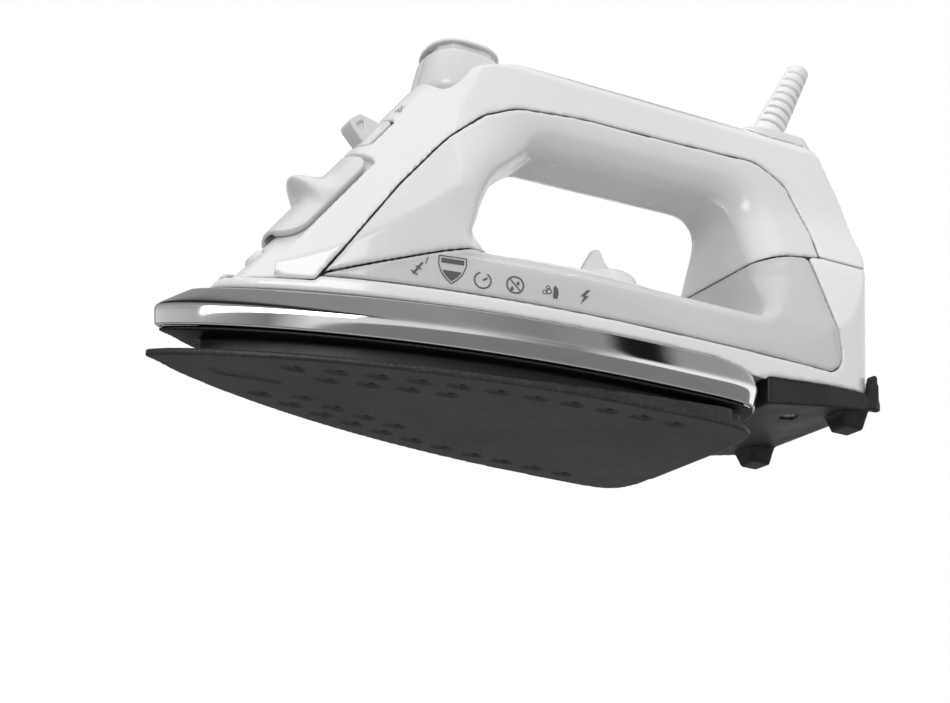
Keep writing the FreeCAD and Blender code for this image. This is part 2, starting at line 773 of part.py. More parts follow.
def make_indicator_lens():
    dome = front_prism([(-4, 53.0, 0), (-4, 56.0, 2), (0, 57.4, 3), (4, 56.0, 2), (4, 53.0, 0)])
    return feature("indicator_lens", lens_outline(0.0, 53.5, 58).common(dome))


def make_indicator_lamp():
    place = at(134, 0, dim("saddle_height") + 1.75)
    return round_bar("indicator_lamp", "3.2", "12", place, Vector(1, 0, 0))


def make_dial():
    """The temperature dial: a disc with a raised hub and a curved fin for the fingers."""
    seat = dim("saddle_cover_top") + 0.5
    radius = dim("dial_radius")
    hub = dim("dial_hub_radius")
    bore = dim("shaft_diameter") / 2 + 0.02
    profile = [(bore, 0, 0), (radius - 0.6, 0, 0), (radius, 0.6, 0), (radius, 2.4, 0),
               (radius - 1.4, 3.4, 0), (hub + 1.5, 4.2, 0), (hub, 10.0, 0), (hub - 1.2, 11.2, 0),
               (0, 11.6, 0), (0, 8.5, 0), (bore, 8.5, 0)]
    fin = [(160.5, 65.0, 0), (161.5, 67.5, 1), (166.4, 77.2, 0.8), (168.8, 77.2, 0.8), (172.0, 71.0, 8),
           (184.0, 66.2, 1), (184.0, 65.0, 0)]
    knob = turned_shape(profile, at(dim("dial_station"), 0, seat), Vector(0, 0, 1))
    return feature("temperature_dial", knob.fuse(side_prism(fin, 2.1)))


def make_thermostat_shaft():
    foot = THERMOSTAT_LOW + 1.5
    length = dim("saddle_cover_top") + 8.4 - foot
    place = at(dim("dial_station"), 0, foot)
    return round_bar("thermostat_shaft", "dims.shaft_diameter", str(length), place)


def make_thermostat():
    """Slow-make thermostat: a case on two feet, with a bearing for the shaft."""
    case = doc.addObject("Part::Box", "thermostat_case")
    case.Length = 26
    case.Width = 16
    case.Height = 7
    case.Placement.Base = at(dim("dial_station") + 13, -8, THERMOSTAT_LOW)
    bore = doc.addObject("Part::Cylinder", "thermostat_bore")
    bore.setExpression("Radius", "dims.shaft_diameter / 2 + dims.running_gap")
    bore.Height = 20
    bore.Placement.Base = at(dim("dial_station"), 0, THERMOSTAT_LOW + 1.2)
    cut = doc.addObject("Part::Cut", "thermostat")
    cut.Base = case
    cut.Tool = bore
    return keep(cut, "thermostat")


def make_thermal_fuse():
    place = at(142, -9, THERMOSTAT_LOW + 2.2)
    return round_bar("thermal_fuse", "4", "18", place, Vector(0, 1, 0))


def make_shaft_sleeve():
    """The guide tube that carries the shaft dry through the tank."""
    top = dim("saddle_height") + 1.5
    profile = [(3.3, 0), (SLEEVE_RADIUS, 0), (SLEEVE_RADIUS, top - 33.3), (3.3, top - 33.3)]
    return turned("shaft_sleeve", profile, at(dim("dial_station"), 0, 33.3))


# ---------------------------------------------------------------- steam valve and lever

def make_valve_seat():
    low = 24.0
    profile = [(1.1, 0), (4.0, 0), (4.0, 12.0), (1.8, 12.0), (1.8, 4.4), (1.1, 3.8)]
    return turned("steam_valve_seat", profile, at(dim("valve_station"), 0, low))


def make_drip_nozzle():
    profile = [(0.9, 0), (2.5, 0), (2.5, 11.8), (0.9, 11.8)]
    return turned("drip_nozzle", profile, at(dim("valve_station"), 0, 12.1))


def make_valve_rod():
    """The needle that meters water into the chamber; a cam on the lever's hub lifts it."""
    radius = dim("valve_rod_diameter") / 2
    profile = [(0.01, 0), (0.5, 0), (radius, 2.2), (radius, 58), (2.4, 58), (2.4, 60), (0.01, 60)]
    return turned("steam_valve_rod", profile, at(dim("valve_station"), 0, 30))


def slope_side_prism(corners, half_width):
    """A solid outlined by places up the slope and out from it, spread to both sides."""
    face = rounded_face(corners, lambda up, out: on_slope(up, -half_width, out))
    return face.extrude(Vector(0, 2 * half_width, 0))


def make_steam_lever():
    """The steam lever: a curved plate under the shell, a thumb fin outside and an arm inside."""
    plate = bow_shell(2.8, 4.6, 72.6, 93, 12.6)
    fin = slope_side_prism([(76.5, -3.4, 0), (78.2, 6.2, 1.5), (79.2, 8.2, 1.2), (84.5, 7.4, 2), (88, -1, 3),
                            (88, -3.4, 0)], 4.6)
    side_recess = slope_side_prism([(79.2, 0.8, 0.8), (80.2, 5.8, 0.8), (84.2, 4.6, 0.8)], 10)
    for side in (1, -1):
        flank = [(0, side * 3.2, 0), (300, side * 3.2, 0), (300, side * 9, 0), (0, side * 9, 0)]
        pocket = side_recess.common(plan_prism(flank, 0, 200))
        fin = fin.cut(pocket)
    hub = cylinder_at(3.6, on_slope(91, 0, -dim("bow_radius")), UP_SLOPE, 4)
    web = slope_block(91, 93, 2.4, -dim("bow_radius"), -3.4, radius=0.8)
    bore = cylinder_at(1.6, on_slope(80, 0, -dim("bow_radius")), UP_SLOPE, 30)
    solid = plate.fuse(fin).fuse(web).fuse(hub).cut(bore)
    return feature("steam_lever", solid)


def make_lever_pivot():
    """The pin that the lever swings about, standing in the shell's inner rib."""
    pin = cylinder_at(1.5, on_slope(88, 0, -dim("bow_radius")), UP_SLOPE, 16)
    rib = slope_block(97, 99, 7, -dim("bow_radius") - 4, -2.6, radius=1.5)
    return feature("lever_pivot", pin.fuse(rib.common(bow_prism(2.3))))


# ---------------------------------------------------------------- front

def make_fill_door():
    """The sliding water-fill door, with a hooked ridge for the thumb and rails at its edges."""
    half_width = dim("door_half_width")
    plate = bow_shell(0.15, 3.0, 24, 68, half_width)
    rails = bow_shell(1.95, 3.0, 26, 66, half_width + 1.3)
    ridge = slope_side_prism([(40, -4, 0), (42, 1.0, 3), (45.0, 6.6, 1.5), (47.6, 8.6, 1.2), (50.5, 5.0, 4),
                              (58, 0.4, 6), (62, -1.0, 0), (62, -4, 0)], 11)
    ridge = ridge.common(bow_prism(-8.4)).cut(bow_prism(1.0))
    relief = bow_shell(1.6, 4.0, 23, 46, 4.9)
    clear_height = dim("body_seam_height") + dim("door_travel") * math.sin(SLOPE) + 0.4
    corners = side_prism([(0, 0, 0), (90, 0, 0), (90, clear_height, 0), (0, clear_height, 0)])
    solid = plate.fuse(rails).fuse(ridge).cut(relief).cut(corners)
    return feature("fill_door", solid)


def make_spray_nozzle():
    profile = [(0.6, 0), (2.2, 0), (2.2, 5), (4.1, 5), (4.1, 14.0), (2.6, 15.5), (0.6, 15.5)]
    return turned("spray_nozzle", profile, on_slope(14, 0, -17.6), OUT_OF_SLOPE)


def make_button_housing():
    """The pod at the front of the handle that holds the two buttons."""
    side = [(86.5, 120.5, 0), (90.0, 137.0, 1.5), (119.5, 137.6, 1.5), (123.5, 139.6, 0), (122, 136, 0),
            (104, 131, 0)]
    plan = [(85, 10, 6), (92, 15.5, 6), (112, 15.8, 20), (124, 9, 8), (124, -9, 8), (112, -15.8, 20),
            (92, -15.5, 6), (85, -10, 6)]
    solid = side_prism(side).common(plan_prism(plan, 100, 150))
    solid = solid.cut(OUTER)
    for hand in (1, -1):
        solid = solid.cut(button_outline(hand, -0.35, 100, 160, skirt=True))
    return feature("button_housing", solid)


def button_outline(hand, inset, low, high, skirt=False):
    """Half of the pod's lens-shaped top: one button each side of the middle."""
    rim = 1.6 if skirt else 0.0
    middle = hand * (0.9 if skirt else 0.25 + inset)
    outer = hand * (14.2 - rim - inset)
    corners = [(91.5 + rim + inset, middle, 0.5), (91.5 + rim + inset, hand * 7, 3), (97, outer, 5),
               (112, outer, 8), (119.5 - rim - inset, hand * 6, 4), (119.5 - rim - inset, middle, 0.5)]
    return plan_prism(corners, low, high)


def make_button(label, hand):
    """A button cap with its skirt and the stem that presses the pump."""
    top = 142.6
    travel = dim("button_travel")
    cap = button_outline(hand, 0.0, top - 1.5, top)
    skirt = button_outline(hand, 0.0, top - 1.5 - travel - 1.6, top - 1.0, skirt=True)
    crown = side_prism([(86, 130, 0), (90.5, 141.2, 2), (101, 142.6, 30), (121, 141.6, 2), (124, 130, 0)])
    stem = cylinder_at(2.2, at(dim("pump_station"), hand * dim("pump_side"), 122), Vector(0, 0, 1), 16)
    solid = cap.fuse(skirt).common(crown).fuse(stem)
    return feature(label, solid)


def make_pump(label, hand):
    low = dim("pump_low")
    bore = dim("pump_bore") / 2
    outside = dim("pump_outside") / 2
    height = dim("pump_high") - low
    profile = [(1.2, -5), (dim("tube_diameter") / 2, -5), (dim("tube_diameter") / 2, 0), (outside, 0),
               (outside, height), (bore, height), (bore, 2.4), (1.2, 2.4)]
    return turned(label, profile, at(dim("pump_station"), hand * dim("pump_side"), low))


def make_piston(label, hand):
    radius = dim("pump_bore") / 2 - 0.06
    profile = [(0.01, 0), (radius, 0), (radius, 2.0), (radius - 0.9, 2.6), (radius, 3.4), (radius, 5.0),
               (2.2, 6.0), (0.01, 6.0)]
    return turned(label, profile, at(dim("pump_station"), hand * dim("pump_side"), PISTON_LOW))


def make_spring(label, hand):
    """The return spring under a piston."""
    height = PISTON_LOW - SPRING_LOW - 1.0
    helix = Part.makeHelix(height / 6, height, 3.2)
    ring = Part.Wire(Part.makeCircle(0.4, Vector(3.2, 0, 0), Vector(0, 1, 0)))
    coil = Part.Wire(helix.Edges).makePipeShell([ring], True, True)
    foot = at(dim("pump_station"), hand * dim("pump_side"), SPRING_LOW + 0.5)
    return feature(label, coil, place=FreeCAD.Placement(foot, FreeCAD.Rotation()))


def make_suction_tube(label, hand):
    pump = at(dim("pump_station"), hand * dim("pump_side"), dim("pump_low") - 5.1)
    below = at(dim("pump_station") - 1, hand * dim("pump_side"), dim("pump_low") - 16)
    points = [pump, below, at(98, hand * 10.5, 74), at(SUCTION_STATION, hand * SUCTION_SIDE, 60),
              at(SUCTION_STATION, hand * SUCTION_SIDE, 37.5)]
    return feature(label, swept_tube(points, dim("tube_diameter") / 2, 1.3))


def make_burst_tube():
    """Carries the steam burst's shot of water from its pump's side port down to the chamber."""
    side = dim("pump_side")
    points = [at(100.8, side, 107), at(93, side + 1, 107), at(86, 11.5, 88), at(71, 13.5, 63),
              at(BURST_DROP[0], BURST_DROP[1], 47), at(BURST_DROP[0], BURST_DROP[1] + 0.1, 20.8),
              at(74, 12, 20.8), at(90.5, 10.2, 20.8), at(BURST_INLET[0], BURST_INLET[1], 14.4)]
    return feature("burst_tube", swept_tube(points, 2.2, 1.2))


def make_spray_tube():
    """Carries the spray's water from its pump's side port to the nozzle at the foot of the front."""
    side = -dim("pump_side")
    points = [at(100.8, side, 107), at(93, side - 1, 107), at(86, -11.5, 88), at(71, -13.5, 63),
              at(57.5, -13.5, 48.5), at(51, -8, 39), on_slope(14, 0, -21.5), on_slope(14, 0, -17.7)]
    return feature("spray_tube", swept_tube(points, 2.1, 1.2))


def make_check_valve(label, hand):
    """The steel ball in the foot of a pump."""
    place = at(dim("pump_station"), hand * dim("pump_side"), dim("pump_low") + 3.6)
    ball = doc.addObject("Part::Sphere", label)
    ball.Radius = 1.2
    ball.Placement.Base = place
    return keep(ball, label)


# ---------------------------------------------------------------- rear, wiring and cord guard

def make_cord_collar():
    """The collar plate on the rear of the handle that the cord guard turns in."""
    side = [(226, 139.0, 0), (229, 143.4, 2), (256, 144.6, 3), (263.5, 139.0, 3), (262, 132, 0)]
    plan = [(224, 7, 4), (236, 13.2, 14), (256, 11.5, 8), (266, 8, 4), (266, -8, 4), (256, -11.5, 8),
            (236, -13.2, 14), (224, -7, 4)]
    solid = side_prism(side).common(plan_prism(plan, 100, 160)).cut(OUTER)
    neck = cylinder_at(6.8, guard_place(-10), GUARD_AXIS, 11)
    solid = solid.cut(cylinder_at(6.9, guard_place(1.0), GUARD_AXIS, 30)).fuse(neck)
    return feature("cord_collar", solid.cut(cylinder_at(5.3, guard_place(-20), GUARD_AXIS, 40)))


def make_cord_guard():
    """The tapered, slotted guard that the cord leaves by; it turns in the collar."""
    base = dim("guard_base_radius")
    tip = dim("guard_tip_radius")
    bore = dim("guard_bore_radius")
    length = dim("guard_length")
    profile = [(bore, -12.5, 0), (6.2, -12.5, 0), (6.2, -10.6, 0), (5.2, -10.6, 0), (5.2, 1.3, 0),
               (base, 1.3, 0), (base, 4.0, 0), (tip, length, 0), (tip - 0.6, length + 0.6, 0),
               (bore, length + 0.6, 0)]
    solid = turned_shape(profile, guard_place(0), GUARD_AXIS)
    tools = []
    for ring in range(8):
        up = 7.0 + 4.2 * ring
        for half in (0, 1):
            shift = 2.1 * half
            slot = Part.makeCylinder(12, 1.3, guard_place(up + shift), GUARD_AXIS)
            core = Part.makeCylinder(bore + 0.7, 3, guard_place(up + shift - 0.5), GUARD_AXIS)
            side = Part.makeBox(30, 30, 80)
            side.translate(Vector(-15, 1.2, -20))
            turn = FreeCAD.Rotation(Vector(0, 0, 1), GUARD_AXIS)
            turn = turn * FreeCAD.Rotation(Vector(0, 0, 1), 180 * half)
            side.Placement = FreeCAD.Placement(guard_place(0), turn).multiply(side.Placement)
            tools.append(slot.cut(core).common(side))
    return feature("cord_guard", solid.cut(Part.makeCompound(tools)))


def make_cord_clamp():
    """The bar and saddle inside the handle that would grip the cord's sheath."""
    block = plan_prism([(232, -9, 1), (242, -9, 1), (242, 9, 1), (232, 9, 1)], 112, 120)
    groove = Part.makeCylinder(3.6, 30, at(250, 0, 121.0), Vector(1, 0, 0))
    return feature("cord_clamp", block.cut(groove))


def make_terminal_block():
    block = plan_prism([(236, -12, 1), (250, -12, 1), (250, 12, 1), (236, 12, 1)], 92, 102)
    for side in LEAD_SIDES:
        block = block.cut(cylinder_at(1.6, at(246, side, 91), Vector(0, 0, 1), 8))
        block = block.cut(cylinder_at(1.9, at(239, side, 98), Vector(0, 0, 1), 8))
    return feature("terminal_block", block)


def make_auto_off_board():
    board = doc.addObject("Part::Box", "auto_off_board")
    board.Length = 1.6
    board.Width = 40
    board.Height = 34
    board.Placement.Base = at(265.6, -20, 42)
    return keep(board, "auto_off_board")


def make_auto_off_relay():
    relay = doc.addObject("Part::Box", "auto_off_relay")
    relay.Length = 7
    relay.Width = 8
    relay.Height = 18
    relay.Placement.Base = at(264, 12, 54)
    return keep(relay, "auto_off_relay")


def make_lead(label, side):
    """One insulated lead from the terminal block down behind the tank and forward to the hot end."""
    points = [at(246, side, 99), at(246, side, 90), at(256.5, side * 1.25, 84), at(258.4, side * 1.25, 62),
              at(259.4, side, 44), at(258.8, side, 31.8), at(206, side, 31.3), at(204.5, side, 20.0)]
    return feature(label, swept_tube(points, dim("lead_diameter") / 2))


# ---------------------------------------------------------------- fasteners

def screw(base, along, length):
    """A pan-head screw: its head at the base, its shank the other way."""
    head = Part.makeCylinder(dim("screw_head") / 2, 2.0, base, along)
    shank = Part.makeCylinder(dim("screw_diameter") / 2 - 0.15, length, base - along * length, along)
    return head.fuse(shank)


def make_sole_screws():
    up = Vector(0, 0, 1)
    screws = [screw(at(station, y, dim("casting_height")), up, 7.5) for station, y in SOLE_SCREWS]
    return feature("sole_screws", Part.makeCompound(screws))


def make_heel_screws():
    down = Vector(0, 0, -1)
    screws = [screw(at(station, y, 21.0), down, 12) for station, y in HEEL_SCREWS]
    return feature("heel_screws", Part.makeCompound(screws))


def make_floor_screws():
    up = Vector(0, 0, 1)
    screws = [screw(at(station, y, 29.35), up, 4.4) for station, y in FLOOR_SCREWS]
    return feature("floor_screws", Part.makeCompound(screws))


# ---------------------------------------------------------------- build, check and write

def build_all():
    make_soleplate()
    make_heating_element()
    make_chamber_cover()
    make_heat_shield()
    make_chrome_trim()
    make_lower_body()
    make_heel_plate()
    make_water_tank()
    make_tank_base()
    make_tank_gasket()
    make_fill_funnel()
    make_upper_shell()
    make_handle_grip()
    make_saddle_cover()
    make_indicator_lens()
    make_indicator_lamp()
    make_dial()
    make_thermostat_shaft()
    make_thermostat()
    make_thermal_fuse()
    make_shaft_sleeve()
    make_valve_seat()
    make_drip_nozzle()
    make_valve_rod()
    make_steam_lever()
    make_lever_pivot()
    make_fill_door()
    make_spray_nozzle()
    make_button_housing()
    for name, hand in (("steam", 1), ("spray", -1)):
        make_button(name + "_button", hand)
        make_pump(name + "_pump_cylinder", hand)
        make_piston(name + "_pump_piston", hand)
        make_spring(name + "_pump_spring", hand)
        make_suction_tube(name + "_suction_tube", hand)
        make_check_valve(name + "_check_valve", hand)
    make_burst_tube()
    make_spray_tube()
    make_cord_collar()
    make_cord_guard()
    make_cord_clamp()
    make_terminal_block()
    make_auto_off_board()
    make_auto_off_relay()
    for name, side in zip(("live_lead", "earth_lead", "neutral_lead"), LEAD_SIDES):
        make_lead(name, side)
    make_sole_screws()
    make_heel_screws()
    make_floor_screws()


def check_and_write():
    doc.recompute()
    for obj in doc.Objects:
        assert "Invalid" not in obj.State and "Error" not in obj.State, (obj.Name, obj.State)
    os.makedirs("parts", exist_ok=True)
    for obj in PARTS:
        shape = obj.Shape
        assert not shape.isNull() and shape.isValid(), obj.Label
        assert shape.Volume > 1, obj.Label
        shape.exportStep("parts/%s.step" % obj.Label)
        print("%-24s %d solid(s) %9.0f mm3" % (obj.Label, len(shape.Solids), shape.Volume))


build_all()
check_and_write()
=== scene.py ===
import json
import math

import bmesh
import bpy
import numpy as np
from mathutils import Matrix, Vector
from mathutils.bvhtree import BVHTree


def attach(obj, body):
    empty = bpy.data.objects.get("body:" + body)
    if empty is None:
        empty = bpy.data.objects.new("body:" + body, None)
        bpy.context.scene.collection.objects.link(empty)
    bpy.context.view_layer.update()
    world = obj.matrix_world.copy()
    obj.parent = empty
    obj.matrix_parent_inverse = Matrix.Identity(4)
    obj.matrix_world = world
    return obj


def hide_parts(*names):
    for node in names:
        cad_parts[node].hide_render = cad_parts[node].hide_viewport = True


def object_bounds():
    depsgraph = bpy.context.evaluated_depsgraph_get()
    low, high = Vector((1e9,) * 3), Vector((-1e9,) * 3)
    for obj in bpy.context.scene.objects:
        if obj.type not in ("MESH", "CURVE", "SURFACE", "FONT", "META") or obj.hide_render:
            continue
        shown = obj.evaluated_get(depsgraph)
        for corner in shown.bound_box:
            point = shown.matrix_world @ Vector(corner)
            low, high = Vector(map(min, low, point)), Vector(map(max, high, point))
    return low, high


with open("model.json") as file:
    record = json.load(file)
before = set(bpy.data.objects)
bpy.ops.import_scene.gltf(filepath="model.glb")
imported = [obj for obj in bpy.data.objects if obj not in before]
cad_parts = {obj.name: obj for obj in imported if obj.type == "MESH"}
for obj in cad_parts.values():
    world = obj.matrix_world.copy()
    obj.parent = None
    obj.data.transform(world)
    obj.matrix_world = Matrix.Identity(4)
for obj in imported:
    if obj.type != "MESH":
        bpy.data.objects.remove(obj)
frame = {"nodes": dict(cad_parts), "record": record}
cad_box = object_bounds()
NODES = frame["nodes"]
MM = 0.001

# A place along the iron is a station: millimetres behind the tip of the nose.
NOSE_X = cad_box[1][0] / MM
WIDEST = 180.0

# The front slopes back from its foot, which is given as a station and a height.
SLOPE = math.radians(54.3)
FOOT_STATION = 22.0
FOOT_Z = 33.0


def at(station, y, z):
    """A point in the frame, in metres, from a station, a sideways place and a height."""
    return Vector(((NOSE_X - station) * MM, y * MM, z * MM))


def on_slope(up, y, out):
    """A point on the sloping front: up along it from its foot, sideways, and out from it."""
    station = FOOT_STATION + up * math.cos(SLOPE) - out * math.sin(SLOPE)
    z = FOOT_Z + up * math.sin(SLOPE) + out * math.cos(SLOPE)
    return at(station, y, z)


def body_of(node):
    """The body that the record puts a node in."""
    for body, members in frame["record"]["behaviour"]["bodies"].items():
        if node in members:
            return body
    raise KeyError(node)


def slot_of(node):
    """The material slot that the record gives a node."""
    for item in frame["record"]["subparts"]:
        if item["node"] == node:
            return item["material_slot"]
    raise KeyError(node)


# ---------------------------------------------------------------- materials

# A noise value lies mostly between these two.
NOISE_LOW = 0.3
NOISE_HIGH = 0.7
PLASTIC_IOR = 1.49


class Recipe:
    """A material's node tree, with the nodes that most of them need."""

    def __init__(self, name):
        self.material = bpy.data.materials.new(name)
        self.material.use_nodes = True
        self.tree = self.material.node_tree
        self.shader = self.tree.nodes["Principled BSDF"]
        self.place = self.add("ShaderNodeTexCoord").outputs["Object"]

    def add(self, kind, **settings):
        node = self.tree.nodes.new(kind)
        for key, value in settings.items():
            setattr(node, key, value)
        return node

    def link(self, start, end):
        self.tree.links.new(start, end)

    def noise(self, scale, detail=3.0, roughness=0.5):
        """A cloudy value from the object's own coordinates."""
        node = self.add("ShaderNodeTexNoise")
        node.inputs["Scale"].default_value = scale
        node.inputs["Detail"].default_value = detail
        node.inputs["Roughness"].default_value = roughness
        self.link(self.place, node.inputs["Vector"])
        return node.outputs["Fac"]

    def spread(self, value, low, high, start=NOISE_LOW, stop=NOISE_HIGH):
        """A number between two, by a value that runs from start to stop."""
        node = self.add("ShaderNodeMapRange")
        node.inputs["From Min"].default_value = start
        node.inputs["From Max"].default_value = stop
        node.inputs["To Min"].default_value = low
        node.inputs["To Max"].default_value = high
        self.link(value, node.inputs["Value"])
        return node.outputs["Result"]

    def tint(self, value, low, high):
        """A colour between two, by a noise value."""
        ramp = self.add("ShaderNodeValToRGB")
        ramp.color_ramp.elements[0].position = NOISE_LOW
        ramp.color_ramp.elements[1].position = NOISE_HIGH
        ramp.color_ramp.elements[0].color = (*low, 1)
        ramp.color_ramp.elements[1].color = (*high, 1)
        self.link(value, ramp.inputs["Fac"])
        return ramp.outputs["Color"]

    def colour(self, value, low, high):
        """Colours the surface between two colours, by a value."""
        self.link(self.tint(value, low, high), self.shader.inputs["Base Color"])

    def gloss(self, value, low, high):
        """Varies the surface's roughness between two numbers, by a value."""
        self.link(self.spread(value, low, high), self.shader.inputs["Roughness"])

    def bump(self, height, distance):
        """Roughens the surface's shading by a value, to a depth in metres."""
        node = self.add("ShaderNodeBump")
        node.inputs["Distance"].default_value = distance
        self.link(height, node.inputs["Height"])
        self.link(node.outputs["Normal"], self.shader.inputs["Normal"])

    def set(self, **values):
        """Sets the shader's plain inputs, named with _ for a space."""
        for key, value in values.items():
            self.shader.inputs[key.replace("_", " ")].default_value = value


def moulded(name, light, dark, rough, grain, grain_depth, coat=0.0, ior=PLASTIC_IOR):
    """A moulded plastic: slight mottle, uneven gloss and a fine grain."""
    recipe = Recipe(name)
    recipe.colour(recipe.noise(18), dark, light)
    recipe.gloss(recipe.noise(55, 4), rough * 0.85, rough * 1.2)
    recipe.bump(recipe.noise(grain, 2), grain_depth)
    recipe.set(IOR=ior, Coat_Weight=coat, Coat_Roughness=0.06)
    return recipe.material


def metal(name, light, dark, rough, stretch=(1, 1, 1), grain=600):
    """A bare or plated metal, with a fine grain that can be stretched along an axis."""
    recipe = Recipe(name)
    mapping = recipe.add("ShaderNodeMapping")
    mapping.inputs["Scale"].default_value = stretch
    recipe.link(recipe.place, mapping.inputs["Vector"])
    recipe.place = mapping.outputs["Vector"]
    fine = recipe.noise(grain, 2)
    recipe.colour(fine, dark, light)
    recipe.gloss(recipe.noise(40, 4), rough * 0.8, rough * 1.3)
    recipe.bump(fine, 0.000004)
    recipe.set(Metallic=1.0)
    return recipe.material


def clear(name, light, dark, rough, through):
    """A clear or smoky moulding, through which a share of the light passes."""
    recipe = Recipe(name)
    recipe.colour(recipe.noise(14), dark, light)
    recipe.gloss(recipe.noise(60, 3), rough * 0.8, rough * 1.3)
    recipe.bump(recipe.noise(900, 2), 0.000003)
    recipe.set(IOR=PLASTIC_IOR, Transmission_Weight=through)
    return recipe.material


def coated_sole(name):
    """A dark non-stick coating: fine pale flecks, a pebbled surface and faint wear."""
    recipe = Recipe(name)
    fleck = recipe.add("ShaderNodeTexVoronoi")
    fleck.inputs["Scale"].default_value = 900
    recipe.link(recipe.place, fleck.inputs["Vector"])
    wear = recipe.noise(22, 5, 0.6)
    mix = recipe.add("ShaderNodeMix", data_type="RGBA")
    recipe.link(recipe.spread(fleck.outputs["Distance"], 1.0, 0.0, 0.12, 0.3), mix.inputs["Factor"])
    recipe.link(recipe.tint(wear, (0.020, 0.019, 0.019), (0.036, 0.035, 0.034)), mix.inputs["A"])
    recipe.link(recipe.tint(wear, (0.055, 0.053, 0.052), (0.095, 0.092, 0.090)), mix.inputs["B"])
    recipe.link(mix.outputs["Result"], recipe.shader.inputs["Base Color"])
    recipe.gloss(wear, 0.32, 0.5)
    recipe.bump(recipe.noise(1500, 3), 0.00003)
    recipe.set(IOR=1.38)
    return recipe.material


MATERIALS = {
    "sole": coated_sole("non_stick_coating"),
    "chrome": metal("chrome_plate", (0.74, 0.735, 0.73), (0.70, 0.695, 0.69), 0.06, grain=90),
    "white_plastic": moulded("white_gloss", (0.85, 0.848, 0.85), (0.825, 0.824, 0.826),
                             0.18, 700, 0.000004, 0.5),
    "pearl_plastic": moulded("pearl_satin", (0.78, 0.772, 0.768), (0.73, 0.722, 0.718),
                             0.24, 900, 0.000005, 0.35),
    "tank": clear("smoky_tank", (0.96, 0.95, 0.94), (0.92, 0.91, 0.90), 0.07, 0.4),
    "black_plastic": moulded("black_grained", (0.014, 0.014, 0.014), (0.007, 0.007, 0.007),
                             0.42, 1100, 0.00004, ior=1.4),
    "guard": moulded("guard_satin", (0.84, 0.842, 0.845), (0.80, 0.802, 0.805), 0.34, 800, 0.000012),
    "silicone": moulded("silicone", (0.78, 0.77, 0.75), (0.70, 0.69, 0.67), 0.45, 500, 0.00001),
    "steel": metal("plain_steel", (0.62, 0.62, 0.63), (0.48, 0.48, 0.49), 0.3, (1, 1, 6)),
    "brass": metal("turned_brass", (0.66, 0.50, 0.24), (0.52, 0.38, 0.16), 0.28),
    "lens": clear("clear_lens", (0.95, 0.95, 0.95), (0.90, 0.90, 0.90), 0.05, 0.35),
    "lamp": clear("neon_envelope", (0.85, 0.22, 0.12), (0.70, 0.14, 0.08), 0.12, 0.6),
    "board": moulded("circuit_board", (0.05, 0.26, 0.13), (0.03, 0.18, 0.09), 0.4, 300, 0.00002),
    "lead": moulded("sleeved_lead", (0.20, 0.20, 0.21), (0.12, 0.12, 0.13), 0.55, 400, 0.00003),
    "pump_piston": moulded("moulded_grey", (0.60, 0.60, 0.60), (0.52, 0.52, 0.52), 0.4, 500, 0.00001),
    "ink": moulded("printed_ink", (0.12, 0.12, 0.125), (0.08, 0.08, 0.085), 0.5, 900, 0.000003),
}

for name, node in NODES.items():
    node.data.materials.clear()
    node.data.materials.append(MATERIALS[slot_of(name)])


# ---------------------------------------------------------------- mesh helpers

def new_object(name, mesh, material):
    """An object for a mesh, smooth shaded, with one material."""
    mesh.materials.clear()
    mesh.materials.append(material)
    mesh.polygons.foreach_set("use_smooth", [True] * len(mesh.polygons))
    obj = bpy.data.objects.new(name, mesh)
    bpy.context.scene.collection.objects.link(obj)
    return obj


def apply_modifiers(obj):
    """Puts the mesh that an object's modifiers make in place of its own."""
    bpy.context.view_layer.update()
    graph = bpy.context.evaluated_depsgraph_get()
    mesh = bpy.data.meshes.new_from_object(obj.evaluated_get(graph))
    obj.modifiers.clear()
    old = obj.data
    obj.data = mesh
    bpy.data.meshes.remove(old)
    mesh.polygons.foreach_set("use_smooth", [True] * len(mesh.polygons))


def points_of(mesh):
    """A mesh's vertices as rows of an array."""
    flat = np.zeros(len(mesh.vertices) * 3)
    mesh.vertices.foreach_get("co", flat)
    return flat.reshape(-1, 3)


def rounded_outline(corners, steps=8):
    """A closed polygon with rounded corners, each (a, b, radius), as points."""
    points = []
    count = len(corners)
    for i, (a, b, radius) in enumerate(corners):
        here = Vector((a, b))
        back = Vector(corners[i - 1][:2]) - here
        ahead = Vector(corners[(i + 1) % count][:2]) - here
        reach = radius / math.tan(back.angle(ahead) / 2)
        start = here + back.normalized() * reach
        stop = here + ahead.normalized() * reach
        for step in range(steps + 1):
            t = step / steps
            points.append(start * (1 - t) ** 2 + here * 2 * t * (1 - t) + stop * t * t)
    return np.array([(p.x, p.y) for p in points])


def distance_to_outline(places, outline):
    """How far each (a, b) place is from a closed outline."""
    best = np.full(len(places), 1e9)
    for start, stop in zip(outline, np.roll(outline, -1, axis=0)):
        along = stop - start
        share = ((places - start) @ along) / max(along @ along, 1e-12)
        nearest = start + np.clip(share, 0, 1)[:, None] * along
        best = np.minimum(best, np.hypot(*(places - nearest).T))
    return best


# ---------------------------------------------------------------- shells

# The hand opening from the side: each corner's station, height and radius.
HAND_OPENING = rounded_outline([(98, 50, 7), (112, 84, 40), (133, 104.5, 14),
                                (221, 106.5, 13), (222, 50, 7)])
ROLL_SHARE = 0.8


